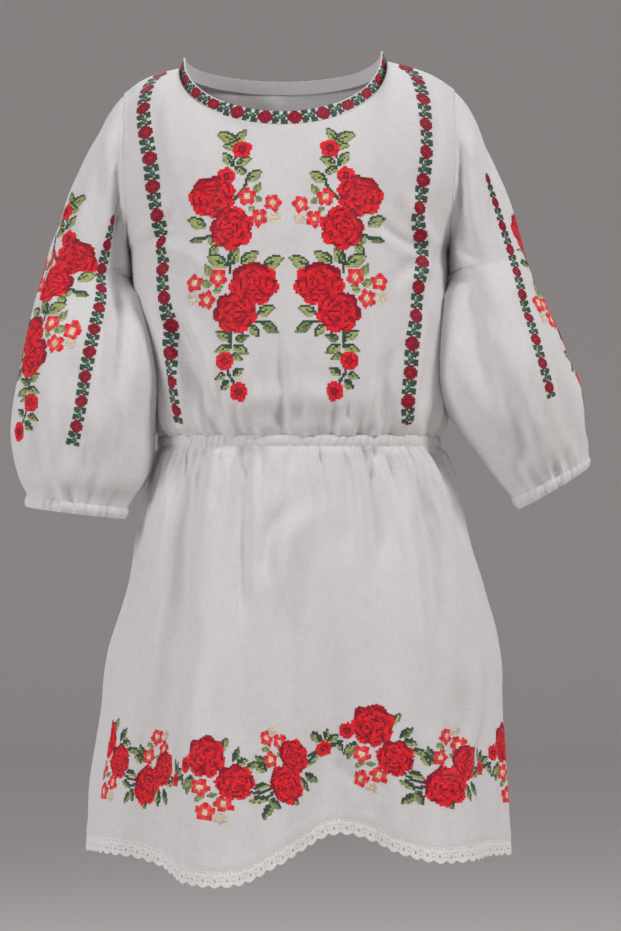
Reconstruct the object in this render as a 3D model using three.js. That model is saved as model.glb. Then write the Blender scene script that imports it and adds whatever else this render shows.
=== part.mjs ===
// A child's embroidered folk dress, about size 110, in the form it takes when worn: a bodice bloused over an
// elastic waist casing, a gathered skirt with a lace hem, and full sleeves drawn in by elastic cuffs.
//
// Millimetres. +X is the wearer's left, -Y the front and +Z up. The origin lies between the shoulders, level with
// the base of the neck, where the wearer holds the dress up. Angles go round the body in degrees: 0 is the
// wearer's left side, 90 the back, 180 the right side and 270 the front.
//
// Every cloth piece starts as a sheet of outer points in rows. The wall is that sheet and a copy of it moved in.

import * as THREE from "three";

// ---------------------------------------------------------------------------------------------------------------
// Driving dimensions

const clothWall = 1.2;
const casingWall = 1.6;
const bandWall = 1.6;
const laceWall = 1.1;
const seamGap = 0.3;

const waistTopZ = -276.5;
const waistBottomZ = -283.5;
const underarmZ = -140;
const seamY = 6; // shoulder seams, behind the middle of the side seams
const armholeDepth = 42; // from the shoulder seam's plane to the front or back of an armhole
const armholeGap = 0.45;

const rightShoulder = { tip: [-121, -27], neck: [-81, -8] }; // [x, z]
const leftShoulder = { tip: [120, -24], neck: [71, -3] };
const shoulderArch = 4.5; // rise of a shoulder seam between its ends
const chestSlope = 6; // how much shallower the bodice would be at the neck if it went on as it is at the armpits
const neckAngle = 51; // where the neck point lies, from the side, in the bodice's columns
const neckFront = { y: -62, z: -56 };
const neckBack = { y: 53, z: -20 };
const neckRound = 0.95; // under 1 makes the neckline fuller than an ellipse
const neckBand = { height: 9.7, lean: 0.34, gap: 0.9 };

const laceDepth = 9.9;
const scallop = { count: 110, depth: 2.2 };

// The bodice from its gathered edge up to the armholes, and the skirt from its own gathered edge down. front and
// back are depths from the plane of the side seams.
const bodiceSections = [
  { z: -276.5, centreX: 6.5, halfWidth: 102, front: 76.5, back: 68.5 },
  { z: -269, centreX: 6, halfWidth: 107, front: 81.5, back: 72.5 },
  { z: -258, centreX: 5.5, halfWidth: 110, front: 85, back: 75.5 },
  { z: -240, centreX: 4.5, halfWidth: 111.5, front: 86.5, back: 77.5 },
  { z: -205, centreX: 3, halfWidth: 113, front: 86, back: 78 },
  { z: -170, centreX: 1, halfWidth: 115, front: 84, back: 77 },
  { z: -140, centreX: -0.5, halfWidth: 116, front: 81, back: 76 },
];
const skirtSections = [
  { z: -283.5, centreX: 6.5, halfWidth: 102, front: 76.5, back: 68.5 },
  { z: -308, centreX: 7.5, halfWidth: 112, front: 86, back: 78 },
  { z: -352, centreX: 9, halfWidth: 122, front: 98, back: 90 },
  { z: -396, centreX: 10.5, halfWidth: 133, front: 107, back: 99 },
  { z: -440, centreX: 10, halfWidth: 141, front: 114, back: 105 },
  { z: -483, centreX: 8.5, halfWidth: 143, front: 119, back: 109 },
  { z: -527, centreX: 7.5, halfWidth: 148, front: 124, back: 113 },
  { z: -560, centreX: 8, halfWidth: 150, front: 127, back: 116 },
  { z: -590, centreX: 8, halfWidth: 151, front: 129, back: 118 },
];
const sectionSquareness = 0.88; // power on the cosine and sine of an ellipse: under 1 squares it a little

// Height of the skirt's cut edge round the hem, where the front is caught up between two folds.
const hemHeights = [
  { angle: 0, z: -568 },
  { angle: 30, z: -571 },
  { angle: 60, z: -568 },
  { angle: 90, z: -571 },
  { angle: 120, z: -568 },
  { angle: 150, z: -570 },
  { angle: 180, z: -566 },
  { angle: 200, z: -560.5 },
  { angle: 217, z: -560 },
  { angle: 229, z: -565.5 },
  { angle: 240, z: -570.5 },
  { angle: 250, z: -573.5 },
  { angle: 258, z: -572 },
  { angle: 266, z: -560 },
  { angle: 275, z: -543.5 },
  { angle: 284, z: -542.5 },
  { angle: 295, z: -554 },
  { angle: 304, z: -560 },
  { angle: 320, z: -560.5 },
  { angle: 342, z: -564.5 },
];

// The skirt's largest folds, as soft ridges and troughs that grow from the waist to the hem.
const skirtFolds = [
  { angle: 22, width: 11, height: -6 },
  { angle: 43, width: 12, height: 9 },
  { angle: 67, width: 11, height: -8 },
  { angle: 91, width: 12, height: 9 },
  { angle: 116, width: 11, height: -8 },
  { angle: 140, width: 12, height: 9 },
  { angle: 162, width: 10, height: -6 },
  { angle: 181, width: 10, height: 5 },
  { angle: 204, width: 12, height: 4 },
  { angle: 228, width: 10, height: -10 },
  { angle: 248, width: 12, height: 15 },
  { angle: 279, width: 15, height: -19 },
  { angle: 311, width: 13, height: 10 },
  { angle: 334, width: 9, height: -6 },
  { angle: 353, width: 10, height: 5 },
];

// Gathers: how many go round, how far they stand out at the seam, and the length over which they fade. Below the
// waist every second or third one runs on as a longer, softer fold.
const skirtGathers = { count: 44, height: 1.8, fade: 22 };
const longGathers = { count: 18, height: 1.8, fade: 80 };
const bodiceGathers = { count: 28, height: 1.8, fade: 26 };
const sleeveGathers = { count: 16, height: 1.5, fade: 22 };
const casingRipples = 36;

// Sleeve sections from the underarm down. tilt raises the outer end of a section, in degrees. The last two rows
// are the cuff's own ends.
const rightSleeveSections = [
  { centreX: -147, centreY: -3, centreZ: -157, halfWidth: 31, halfDepth: 37, tilt: 10 },
  { centreX: -146, centreY: -15, centreZ: -181, halfWidth: 37, halfDepth: 39, tilt: 6 },
  { centreX: -145.5, centreY: -28, centreZ: -209, halfWidth: 43, halfDepth: 41, tilt: 4 },
  { centreX: -146.5, centreY: -36, centreZ: -250, halfWidth: 49.5, halfDepth: 43, tilt: 3 },
  { centreX: -147.5, centreY: -38, centreZ: -279, halfWidth: 51, halfDepth: 43, tilt: 4 },
  { centreX: -147.5, centreY: -37, centreZ: -297, halfWidth: 48.5, halfDepth: 41, tilt: 5 },
  { centreX: -148.5, centreY: -38, centreZ: -309, halfWidth: 43.5, halfDepth: 37, tilt: 6 },
  { centreX: -150, centreY: -38.5, centreZ: -318, halfWidth: 38, halfDepth: 31, tilt: 6 },
  { centreX: -151, centreY: -39, centreZ: -323.5, halfWidth: 35.5, halfDepth: 29, tilt: 7 },
  { centreX: -152.5, centreY: -39.5, centreZ: -331.5, halfWidth: 34.5, halfDepth: 28, tilt: 7 },
];
const leftSleeveSections = [
  { centreX: 144.5, centreY: -5, centreZ: -153, halfWidth: 27.5, halfDepth: 38, tilt: 13 },
  { centreX: 148, centreY: -15, centreZ: -185, halfWidth: 36.5, halfDepth: 41, tilt: 14 },
  { centreX: 155, centreY: -24, centreZ: -225, halfWidth: 44.5, halfDepth: 44, tilt: 15 },
  { centreX: 165, centreY: -24, centreZ: -256, halfWidth: 45.5, halfDepth: 44, tilt: 17 },
  { centreX: 177, centreY: -18, centreZ: -283, halfWidth: 38, halfDepth: 42, tilt: 21 },
  { centreX: 183.5, centreY: -14, centreZ: -295.5, halfWidth: 34.5, halfDepth: 38, tilt: 24 },
  { centreX: 187, centreY: -12.5, centreZ: -303, halfWidth: 31.5, halfDepth: 35, tilt: 26 },
  { centreX: 188.5, centreY: -12, centreZ: -306.5, halfWidth: 30.5, halfDepth: 34, tilt: 28 },
  { centreX: 191, centreY: -12, centreZ: -314, halfWidth: 28.5, halfDepth: 33, tilt: 31 },
];
const cuffRows = 2;
const sleeveClearance = 1.5;

// How steeply the sleeve leaves the armhole, in degrees below level, from the shoulder tip to the underarm.
const capSlopes = [
  { angle: 0, slope: 38 },
  { angle: 90, slope: 34 },
  { angle: 180, slope: 76 },
];
const capPull = { leave: 0.45, arrive: 0.75 }; // lengths of its end tangents, as shares of the span between

// How finely each piece is divided.
const shoulderColumns = 6;
const necklineColumns = 14;
const armholeRows = 10;
const bodiceHeights = [-247, -225, -197, -168, -140]; // rows above the gathers, up to the underarm
const bodiceGatherDrops = [0, 5, 13];
const skirtGatherDrops = [0, 6, 15, 28];
const skirtRowShares = [0.17, 0.29, 0.42, 0.55, 0.68, 0.8, 0.91, 1]; // of the way from the waist to the hem
const skirtColumns = 36;
const pointsPerGather = 4;
const capRows = 4;
const pointsPerScallop = 3;

const linen = { color: 0xe9e7e4, roughness: 0.9, metalness: 0 };
const embroideredBand = { color: 0xb9a9a4, roughness: 0.8, metalness: 0 };
const cottonLace = { color: 0xf1efeb, roughness: 0.85, metalness: 0 };

// ---------------------------------------------------------------------------------------------------------------
// Small maths

const radians = THREE.MathUtils.degToRad;
const mix = THREE.MathUtils.lerp;

const smooth = THREE.MathUtils.smoothstep;

function signedPower(value, power) {
  return Math.sign(value) * Math.abs(value) ** power;
}

// Reads one column of a table at a value of its key column, on a smooth curve through the rows.
function readTable(table, key, column, value) {
  const keys = table.map((row) => row[key]);
  const rising = keys[keys.length - 1] > keys[0] ? 1 : -1;
  let next = keys.findIndex((k) => (k - value) * rising > 0);
  if (next < 0) next = keys.length - 1;
  if (next === 0) next = 1;
  const [before, a, b, after] = [next - 2, next - 1, next, next + 1].map(
    (i) => table[Math.min(Math.max(i, 0), table.length - 1)],
  );
  const span = b[key] - a[key];
  const slopeA = ((b[column] - before[column]) / (b[key] - before[key])) * span;
  const slopeB = ((after[column] - a[column]) / (after[key] - a[key])) * span;
  const t = Math.min(Math.max((value - a[key]) / span, 0), 1);
  const t2 = t * t;
  const t3 = t2 * t;
  return (
    a[column] * (2 * t3 - 3 * t2 + 1) +
    slopeA * (t3 - 2 * t2 + t) +
    b[column] * (3 * t2 - 2 * t3) +
    slopeB * (t3 - t2)
  );
}

// A table by angle, repeated half a turn past both ends so that it reads smoothly all the way round.
function roundTable(table) {
  const before = table.filter((row) => row.angle >= 180).map((row) => ({ ...row, angle: row.angle - 360 }));
  const after = table.filter((row) => row.angle <= 180).map((row) => ({ ...row, angle: row.angle + 360 }));
  return [...before, ...table, ...after];
}

// An uneven wave with a whole number of crests in 360 degrees, from -1 to 1.
function gatherWave(count, angle) {
  const a = radians(angle);
  const drift = 0.5 * Math.sin(3 * a + 0.7) + 0.35 * Math.sin(7 * a + 2.1);
  const strength = 0.78 + 0.22 * Math.sin(5 * a + 1.3);
  return strength * Math.sin(count * a + drift);
}

// ---------------------------------------------------------------------------------------------------------------
// Sheets and walls

// Rows run from the top of a piece to its bottom, and each row from left to right as seen from outside. Rows may
// have different numbers of points. shares gives each point's place along its row, from 0 to 1.
function sheetFromRows(rows, closed) {
  const points = [];
  const triangles = [];
  const indexed = rows.map((row) => {
    const first = points.length;
    points.push(...row);
    const indices = row.map((_, i) => first + i);
    if (closed) indices.push(first);
    return indices;
  });
  for (let r = 0; r + 1 < indexed.length; r++) {
    const [above, below] = [indexed[r], indexed[r + 1]];
    let [i, j] = [0, 0];
    while (i + 1 < above.length || j + 1 < below.length) {
      const nextAbove = i + 1 < above.length ? (i + 1) / (above.length - 1) : Infinity;
      const nextBelow = j + 1 < below.length ? (j + 1) / (below.length - 1) : Infinity;
      if (nextAbove <= nextBelow) {
        triangles.push([above[i], below[j], above[i + 1]]);
        i += 1;
      } else {
        triangles.push([above[i], below[j], below[j + 1]]);
        j += 1;
      }
    }
  }
  return { points, triangles };
}

function vertexNormals(sheet) {
  const normals = sheet.points.map(() => new THREE.Vector3());
  for (const [a, b, c] of sheet.triangles) {
    const [pa, pb, pc] = [sheet.points[a], sheet.points[b], sheet.points[c]];
    const face = pb.clone().sub(pa).cross(pc.clone().sub(pa));
    for (const i of [a, b, c]) normals[i].add(face);
  }
  return normals;
}

// A closed wall: the sheet, a copy moved in along its normals, and a rim between their edges. A point's seams
// hold the directions across the seams it lies on, so that the two pieces there end face to face.
function wallFromSheet(sheet, thickness) {
  const normals = vertexNormals(sheet);
  const count = sheet.points.length;
  const inner = sheet.points.map((point, i) => {
    const normal = normals[i];
    for (const across of point.seams ?? []) normal.addScaledVector(across, -normal.dot(across));
    return point.clone().addScaledVector(normal.normalize(), -thickness);
  });
  const faces = [];
  const directed = new Set();
  for (const [a, b, c] of sheet.triangles) {
    faces.push([a, b, c], [a + count, c + count, b + count]);
    for (const [from, to] of [[a, b], [b, c], [c, a]]) directed.add(`${from},${to}`);
  }
  for (const edge of directed) {
    const [from, to] = edge.split(",").map(Number);
    if (directed.has(`${to},${from}`)) continue;
    faces.push([to, from, from + count], [to, from + count, to + count]);
  }
  const corners = [...sheet.points, ...inner].flatMap((point) => [point.x, point.y, point.z]);
  const geometry = new THREE.BufferGeometry();
  geometry.setAttribute("position", new THREE.Float32BufferAttribute(corners, 3));
  geometry.setIndex(faces.flat());
  return geometry;
}

const [acrossX, acrossY, acrossZ] = [0, 1, 2].map((i) => new THREE.Vector3().setComponent(i, 1));

function alongSeam(point, across) {
  point.seams = [...(point.seams ?? []), across];
  return point;
}

// ---------------------------------------------------------------------------------------------------------------
// Bodice and skirt surfaces

function sectionPoint(table, angle, z, rise) {
  const [centreX, halfWidth, front, back] = ["centreX", "halfWidth", "front", "back"].map((column) =>
    readTable(table, "z", column, z),
  );
  const cosine = Math.cos(radians(angle));
  const sine = Math.sin(radians(angle));
  const depth = sine < 0 ? front : back;
  const out = new THREE.Vector2(cosine / halfWidth, sine / depth).normalize();
  return new THREE.Vector3(
    centreX + halfWidth * signedPower(cosine, sectionSquareness) + rise * out.x,
    depth * signedPower(sine, sectionSquareness) + rise * out.y,
    z,
  );
}

function lowerBodicePoint(angle, z) {
  return sectionPoint(bodiceSections, angle, z, bodiceGatherHeight(z) * gatherWave(bodiceGathers.count, angle));
}

// The edge of an armhole: share is 0 at the underarm and 1 at the shoulder tip, and face -1 at the front, 1 behind.
function armholeEdge(side, face, share) {
  const shoulder = side < 0 ? rightShoulder : leftShoulder;
  const underarm = bodiceSections[bodiceSections.length - 1];
  const underarmX = underarm.centreX + side * underarm.halfWidth;
  const rise = (1 - Math.cos(Math.PI * share)) / 2;
  return new THREE.Vector3(
    mix(underarmX, shoulder.tip[0], rise),
    seamY * rise + face * armholeDepth * Math.sin(Math.PI * share),
    mix(underarmZ, shoulder.tip[1], rise),
  );
}

// The bodice's top edge at one of its columns: a shoulder seam, or the neckline between the two neck points.
function topEdge(angle, face) {
  const fromSide = Math.min(angle % 180, 180 - (angle % 180));
  const side = Math.cos(radians(angle)) < 0 ? -1 : 1;
  const shoulder = side < 0 ? rightShoulder : leftShoulder;
  if (fromSide <= neckAngle) {
    const t = (1 - Math.cos(radians(fromSide))) / (1 - Math.cos(radians(neckAngle)));
    return new THREE.Vector3(
      mix(shoulder.tip[0], shoulder.neck[0], t),
      seamY,
      mix(shoulder.tip[1], shoulder.neck[1], t) + shoulderArch * Math.sin(Math.PI * t ** 0.7),
    );
  }
  return neckline(neckTurn(angle), face);
}

// How far round the front or back neckline a bodice column ends: 0 at the wearer's right neck point, 1 at the left.
function neckTurn(angle) {
  const along = ((angle % 180) - neckAngle) / (180 - 2 * neckAngle);
  return angle >= 180 ? along : 1 - along;
}

function neckline(turn, face) {
  const middle = face < 0 ? neckFront : neckBack;
  const [right, left] = [rightShoulder.neck, leftShoulder.neck];
  const bend = Math.sin(Math.PI * turn) ** neckRound;
  return new THREE.Vector3(
    mix(right[0], left[0], (1 - Math.cos(Math.PI * turn)) / 2),
    mix(seamY, middle.y, bend),
    mix(mix(right[1], left[1], turn), middle.z, bend),
  );
}

// Above the underarm a column runs from the chest to the top edge, and its share is 0 at the chest and 1 there.
function upperBodicePoint(angle, face, share) {
  const acrossChest = signedPower(Math.cos(radians(angle)), sectionSquareness);
  const chest = bodiceSections[bodiceSections.length - 1];
  const chestDepth = face < 0 ? chest.front : chest.back;
  const neckDepth = Math.abs(face < 0 ? neckFront.y : neckBack.y);
  const top = topEdge(angle, face);
  const [rightTip, leftTip] = [rightShoulder.tip[0], leftShoulder.tip[0]];
  const acrossTop = (2 * top.x - rightTip - leftTip) / (leftTip - rightTip);
  const flat = (s) => {
    const right = armholeEdge(-1, face, s);
    const left = armholeEdge(1, face, s);
    const rise = (1 - Math.cos(Math.PI * s)) / 2;
    const middle = chestDepth - chestSlope * rise - (chestDepth - neckDepth - chestSlope) * rise ** 2;
    const across = mix(acrossChest, acrossTop, smooth(s, 0, 0.7));
    const cosine = Math.min(Math.abs(across) ** (1 / mix(sectionSquareness, 1, smooth(s, 0, 0.6))), 1);
    const forward = (1 - cosine ** 2) ** (mix(sectionSquareness, 1.7, smooth(s, 0.2, 0.75)) / 2);
    const atEdge = (1 - forward) ** mix(5, 1, smooth(s, -0.2, 0.5)); // how far the armhole's edge pulls it along
    return new THREE.Vector3(
      (right.x + left.x) / 2 + ((left.x - right.x) / 2) * across,
      face * middle * forward + right.y * atEdge,
      mix(underarmZ, top.z, rise),
    );
  };
  const point = flat(share);
  point.y += (top.y - flat(1).y) * share ** 6;
  return point;
}

const hemTable = roundTable(hemHeights);

function hemZ(angle) {
  return readTable(hemTable, "angle", "z", angle);
}

function foldHeight(angle) {
  return skirtFolds.reduce((sum, fold) => {
    const away = THREE.MathUtils.euclideanModulo(angle - fold.angle + 180, 360) - 180;
    return sum + fold.height * Math.exp(-((away / fold.width) ** 2));
  }, 0);
}

// share is 0 at the waist and 1 at the hem.
function skirtPoint(angle, share) {
  const z = mix(waistBottomZ - seamGap, hemZ(angle), share);
  const drop = waistBottomZ - z;
  const near = skirtGathers.height * Math.exp(-((drop / skirtGathers.fade) ** 2));
  const far = longGathers.height * Math.exp(-((drop / longGathers.fade) ** 2));
  const gathers = near * gatherWave(skirtGathers.count, angle) + far * gatherWave(longGathers.count, angle);
  const rise = gathers + foldHeight(angle) * share ** 1.3;
  return sectionPoint(skirtSections, angle, z, rise);
}

// ---------------------------------------------------------------------------------------------------------------
// Bodice

// The columns of a panel that starts at this angle: the neck points fall on columns of their own.
function bodiceColumns(start) {
  const shoulder = Array.from({ length: shoulderColumns }, (_, i) => (neckAngle * i) / shoulderColumns);
  const neck = Array.from(
    { length: necklineColumns + 1 },
    (_, i) => mix(neckAngle, 180 - neckAngle, i / necklineColumns),
  );
  const otherShoulder = shoulder.map((angle) => 180 - angle).reverse();
  return [...shoulder, ...neck, ...otherShoulder].map((angle) => start + angle);
}

// Leaves half of a seam's gap between this end of a row and the next panel.
function openSideSeams(row, face) {
  for (const point of [row[0], row[row.length - 1]]) {
    point.y += (face * seamGap) / 2;
    alongSeam(point, acrossY);
  }
  return row;
}

function bodicePanel(start) {
  const face = start >= 180 ? -1 : 1;
  const columns = bodiceColumns(start);
  const shares = Array.from({ length: armholeRows + 1 }, (_, i) => 1 - i / armholeRows);
  const rows = shares.map((share) => columns.map((angle) => upperBodicePoint(angle, face, share)));
  for (const [i, point] of rows[0].entries()) {
    const onShoulder = i <= shoulderColumns || i >= columns.length - 1 - shoulderColumns;
    if (onShoulder) alongSeam(point, acrossY).y += (face * seamGap) / 2;
  }
  rows[armholeRows].splice(0, 1, lowerBodicePoint(start, underarmZ));
  rows[armholeRows].splice(-1, 1, lowerBodicePoint(start + 180, underarmZ));
  openSideSeams(rows[armholeRows], face);
  for (const z of bodiceHeights.slice(0, -1).reverse()) {
    rows.push(openSideSeams(columns.map((angle) => lowerBodicePoint(angle, z)), face));
  }
  const steps = (bodiceGathers.count / 2) * pointsPerGather;
  for (const drop of [...bodiceGatherDrops].reverse()) {
    const z = waistTopZ + seamGap + drop;
    const row = Array.from({ length: steps + 1 }, (_, i) => lowerBodicePoint(start + (180 * i) / steps, z));
    if (drop === 0) row.forEach((point) => alongSeam(point, acrossZ));
    rows.push(openSideSeams(row, face));
  }
  return wallFromSheet(sheetFromRows(rows, false), clothWall);
}

// ---------------------------------------------------------------------------------------------------------------
// Neck band

function neckBandWall() {
  const around = necklineColumns * 2;
  const edge = Array.from({ length: around }, (_, i) => {
    const front = i < necklineColumns;
    const turn = front ? i / necklineColumns : 2 - i / necklineColumns;
    return neckline(turn, front ? -1 : 1);
  });
  const centreX = (rightShoulder.neck[0] + leftShoulder.neck[0]) / 2;
  const rows = [1, 0.5, 0].map((share) =>
    edge.map((point) => {
      const inward = new THREE.Vector3(centreX - point.x, seamY - point.y, 0);
      const sideways = Math.abs(inward.x) / inward.length();
      inward.normalize();
      const seat = inward.clone().multiplyScalar(sideways);
      seat.z = 1 - sideways;
      seat.setLength(neckBand.gap);
      const up = inward.clone().multiplyScalar(neckBand.lean);
      up.z = 1;
      up.setLength(neckBand.height * share);
      return point.clone().add(seat).add(up);
    }),
  );
  return wallFromSheet(sheetFromRows(rows, true), bandWall);
}

// ---------------------------------------------------------------------------------------------------------------
// Sleeves and cuffs

function bodiceGatherHeight(z) {
  return bodiceGathers.height * Math.exp(-(((z - waistTopZ) / bodiceGathers.fade) ** 2));
}

// How far out a side of the bodice or skirt lies at one depth and height, over the crests of its gathers.
function bodySide(side, y, z) {
  const onBodice = z > waistBottomZ;
  const table = onBodice ? bodiceSections : skirtSections;
  const crest = onBodice ? bodiceGatherHeight(z) : skirtGathers.height;
  const depth = readTable(table, "z", y < 0 ? "front" : "back", z);
  const sine = Math.min(Math.abs(y) / depth, 1) ** (1 / sectionSquareness);
  const reach = Math.sqrt(1 - sine * sine) ** sectionSquareness;
  return readTable(table, "z", "centreX", z) + side * (reach * readTable(table, "z", "halfWidth", z) + crest);
}

// Directions of a sleeve section: outward, across the arm, and down along it.
function sectionFrame(section, side) {
  const tilt = radians(section.tilt);
  return {
    outward: new THREE.Vector3(side * Math.cos(tilt), 0, Math.sin(tilt)),
    down: new THREE.Vector3(side * Math.sin(tilt), 0, -Math.cos(tilt)),
  };
}

// A point of a sleeve section. turn is 0 at the outer side, 90 at the front, 180 at the body and 270 behind.
function sleeveSectionPoint(section, side, turn, rise) {
  const { outward } = sectionFrame(section, side);
  const forward = new THREE.Vector3(0, -1, 0);
  const angle = radians(turn);
  const point = new THREE.Vector3(section.centreX, section.centreY, section.centreZ)
    .addScaledVector(outward, (section.halfWidth + rise) * Math.cos(angle))
    .addScaledVector(forward, (section.halfDepth + rise) * Math.sin(angle));
  const limit = bodySide(side, point.y, point.z) + side * sleeveClearance;
  if (side * (point.x - limit) < 0) point.x = limit; // the sleeve lies flat where it meets the body
  return point;
}

function armholePoint(side, turn) {
  const round = THREE.MathUtils.euclideanModulo(turn, 360);
  const face = round <= 180 ? -1 : 1;
  const share = Math.abs(1 - round / 180);
  const point = armholeEdge(side, face, share);
  point.x += side * armholeGap;
  return point;
}

// The sleeve's cap: each of its lines leaves the armhole and bends down into the first section.
function capPoint(sections, side, turn, share) {
  const from = armholePoint(side, turn);
  const to = sleeveSectionPoint(sections[0], side, turn, 0);
  const folded = 180 - Math.abs(180 - THREE.MathUtils.euclideanModulo(turn, 360));
  const slope = radians(readTable(capSlopes, "angle", "slope", folded));
  const span = from.distanceTo(to);
  const leave = new THREE.Vector3(side * Math.cos(slope), 0, -Math.sin(slope)).setLength(span * capPull.leave);
  const arrive = sectionFrame(sections[0], side).down.setLength(span * capPull.arrive);
  const s2 = share * share;
  const s3 = s2 * share;
  return new THREE.Vector3()
    .addScaledVector(from, 2 * s3 - 3 * s2 + 1)
    .addScaledVector(leave, s3 - 2 * s2 + share)
    .addScaledVector(to, 3 * s2 - 2 * s3)
    .addScaledVector(arrive, s3 - s2);
}

// A ring of points round a sleeve. Seen from outside it runs left to right on both sleeves.
function sleeveRing(side, count, pointAt) {
  return Array.from({ length: count }, (_, i) => pointAt(-side * (360 * i) / count));
}

function distanceBetween(a, b) {
  return Math.hypot(a.centreX - b.centreX, a.centreY - b.centreY, a.centreZ - b.centreZ);
}

// A section moved up or down the sleeve, to leave a seam's gap.
function shiftSection(section, side, distance) {
  const { down } = sectionFrame(section, side);
  return { ...section, centreX: section.centreX + down.x * distance, centreZ: section.centreZ + down.z * distance };
}

function sleeveWall(sections, side) {
  const coarse = armholeRows * 2;
  const fine = sleeveGathers.count * pointsPerGather;
  const body = sections.slice(0, sections.length - cuffRows + 1);
  const last = body.length - 1;
  body[last] = shiftSection(body[last], side, -seamGap);
  const rows = [];
  for (let r = 0; r < capRows; r++) {
    rows.push(sleeveRing(side, coarse, (turn) => capPoint(sections, side, turn, r / capRows)));
  }
  rows[0].forEach((point) => alongSeam(point, acrossX));
  body.forEach((section, i) => {
    const away = distanceBetween(section, body[last]);
    const gather = sleeveGathers.height * Math.exp(-((away / sleeveGathers.fade) ** 2));
    const count = i >= last - 1 ? fine : coarse;
    rows.push(
      sleeveRing(side, count, (turn) =>
        sleeveSectionPoint(section, side, turn, gather * gatherWave(sleeveGathers.count, turn)),
      ),
    );
  });
  rows[rows.length - 1].forEach((point) => alongSeam(point, sectionFrame(body[last], side).down));
  return wallFromSheet(sheetFromRows(rows, true), clothWall);
}

function cuffWall(sections, side) {
  const fine = sleeveGathers.count * pointsPerGather;
  const [start, end] = sections.slice(-cuffRows);
  const rows = [start, end].map((section) =>
    sleeveRing(side, fine, (turn) => {
      const rise = sleeveGathers.height * gatherWave(sleeveGathers.count, turn);
      return alongSeam(sleeveSectionPoint(section, side, turn, rise), sectionFrame(section, side).down);
    }),
  );
  return wallFromSheet(sheetFromRows(rows, true), casingWall);
}

// ---------------------------------------------------------------------------------------------------------------
// Waist casing, skirt and lace

function waistCasingWall() {
  const count = casingRipples * pointsPerGather;
  const levels = [
    { z: waistTopZ, out: 0.2 },
    { z: (waistTopZ + waistBottomZ) / 2, out: 1.4 },
    { z: waistBottomZ, out: 0.2 },
  ];
  const waist = skirtSections[0];
  const rows = levels.map(({ z, out }) =>
    Array.from({ length: count }, (_, i) => {
      const angle = (360 * i) / count;
      const point = sectionPoint(skirtSections, angle, waist.z, out + 0.7 * gatherWave(casingRipples, angle));
      point.z = z;
      return point;
    }),
  );
  return wallFromSheet(sheetFromRows(rows, true), casingWall);
}

function skirtPanel(start) {
  const face = start >= 180 ? -1 : 1;
  const fine = (skirtGathers.count / 2) * pointsPerGather;
  const length = waistBottomZ - hemZ(start);
  const rows = skirtGatherDrops.map((drop) =>
    Array.from({ length: fine + 1 }, (_, i) => skirtPoint(start + (180 * i) / fine, drop / length)),
  );
  rows[0].forEach((point) => alongSeam(point, acrossZ));
  for (const share of skirtRowShares) {
    rows.push(
      Array.from({ length: skirtColumns + 1 }, (_, i) => skirtPoint(start + (180 * i) / skirtColumns, share)),
    );
  }
  rows.forEach((row) => openSideSeams(row, face));
  return wallFromSheet(sheetFromRows(rows, false), clothWall);
}

// A half of the lace: its top edge follows the hem, and its lower edge is scalloped.
function lacePanel(start) {
  const face = start >= 180 ? -1 : 1;
  const nearHem = 0.97;
  const lacePoint = (angle, depth) => {
    const hem = skirtPoint(angle, 1);
    const fall = hem.clone().sub(skirtPoint(angle, nearHem)).normalize();
    return hem.addScaledVector(fall, depth);
  };
  const top = Array.from({ length: skirtColumns + 1 }, (_, i) =>
    lacePoint(start + (180 * i) / skirtColumns, seamGap),
  );
  const steps = (scallop.count / 2) * pointsPerScallop;
  const bottom = Array.from({ length: steps + 1 }, (_, i) => {
    const bulge = Math.abs(Math.sin((Math.PI * i) / pointsPerScallop));
    return lacePoint(start + (180 * i) / steps, laceDepth + scallop.depth * bulge);
  });
  const rows = [top, bottom].map((row) => openSideSeams(row, face));
  return wallFromSheet(sheetFromRows(rows, false), laceWall);
}

// ---------------------------------------------------------------------------------------------------------------
// The dress

function piece(name, geometry, finish) {
  const mesh = new THREE.Mesh(geometry, new THREE.MeshStandardMaterial(finish));
  mesh.name = name;
  return mesh;
}

const frontStart = 180;
const backStart = 0;

const dress = new THREE.Group();
dress.add(
  piece("bodice_front", bodicePanel(frontStart), linen),
  piece("bodice_back", bodicePanel(backStart), linen),
  piece("neck_band", neckBandWall(), embroideredBand),
  piece("sleeve_right", sleeveWall(rightSleeveSections, -1), linen),
  piece("sleeve_left", sleeveWall(leftSleeveSections, 1), linen),
  piece("cuff_right", cuffWall(rightSleeveSections, -1), linen),
  piece("cuff_left", cuffWall(leftSleeveSections, 1), linen),
  piece("waist_casing", waistCasingWall(), linen),
  piece("skirt_front", skirtPanel(frontStart), linen),
  piece("skirt_back", skirtPanel(backStart), linen),
  piece("hem_lace_front", lacePanel(frontStart), cottonLace),
  piece("hem_lace_back", lacePanel(backStart), cottonLace),
);

export default dress;
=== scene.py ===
import math

import bpy
import numpy as np
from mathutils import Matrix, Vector, noise


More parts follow.
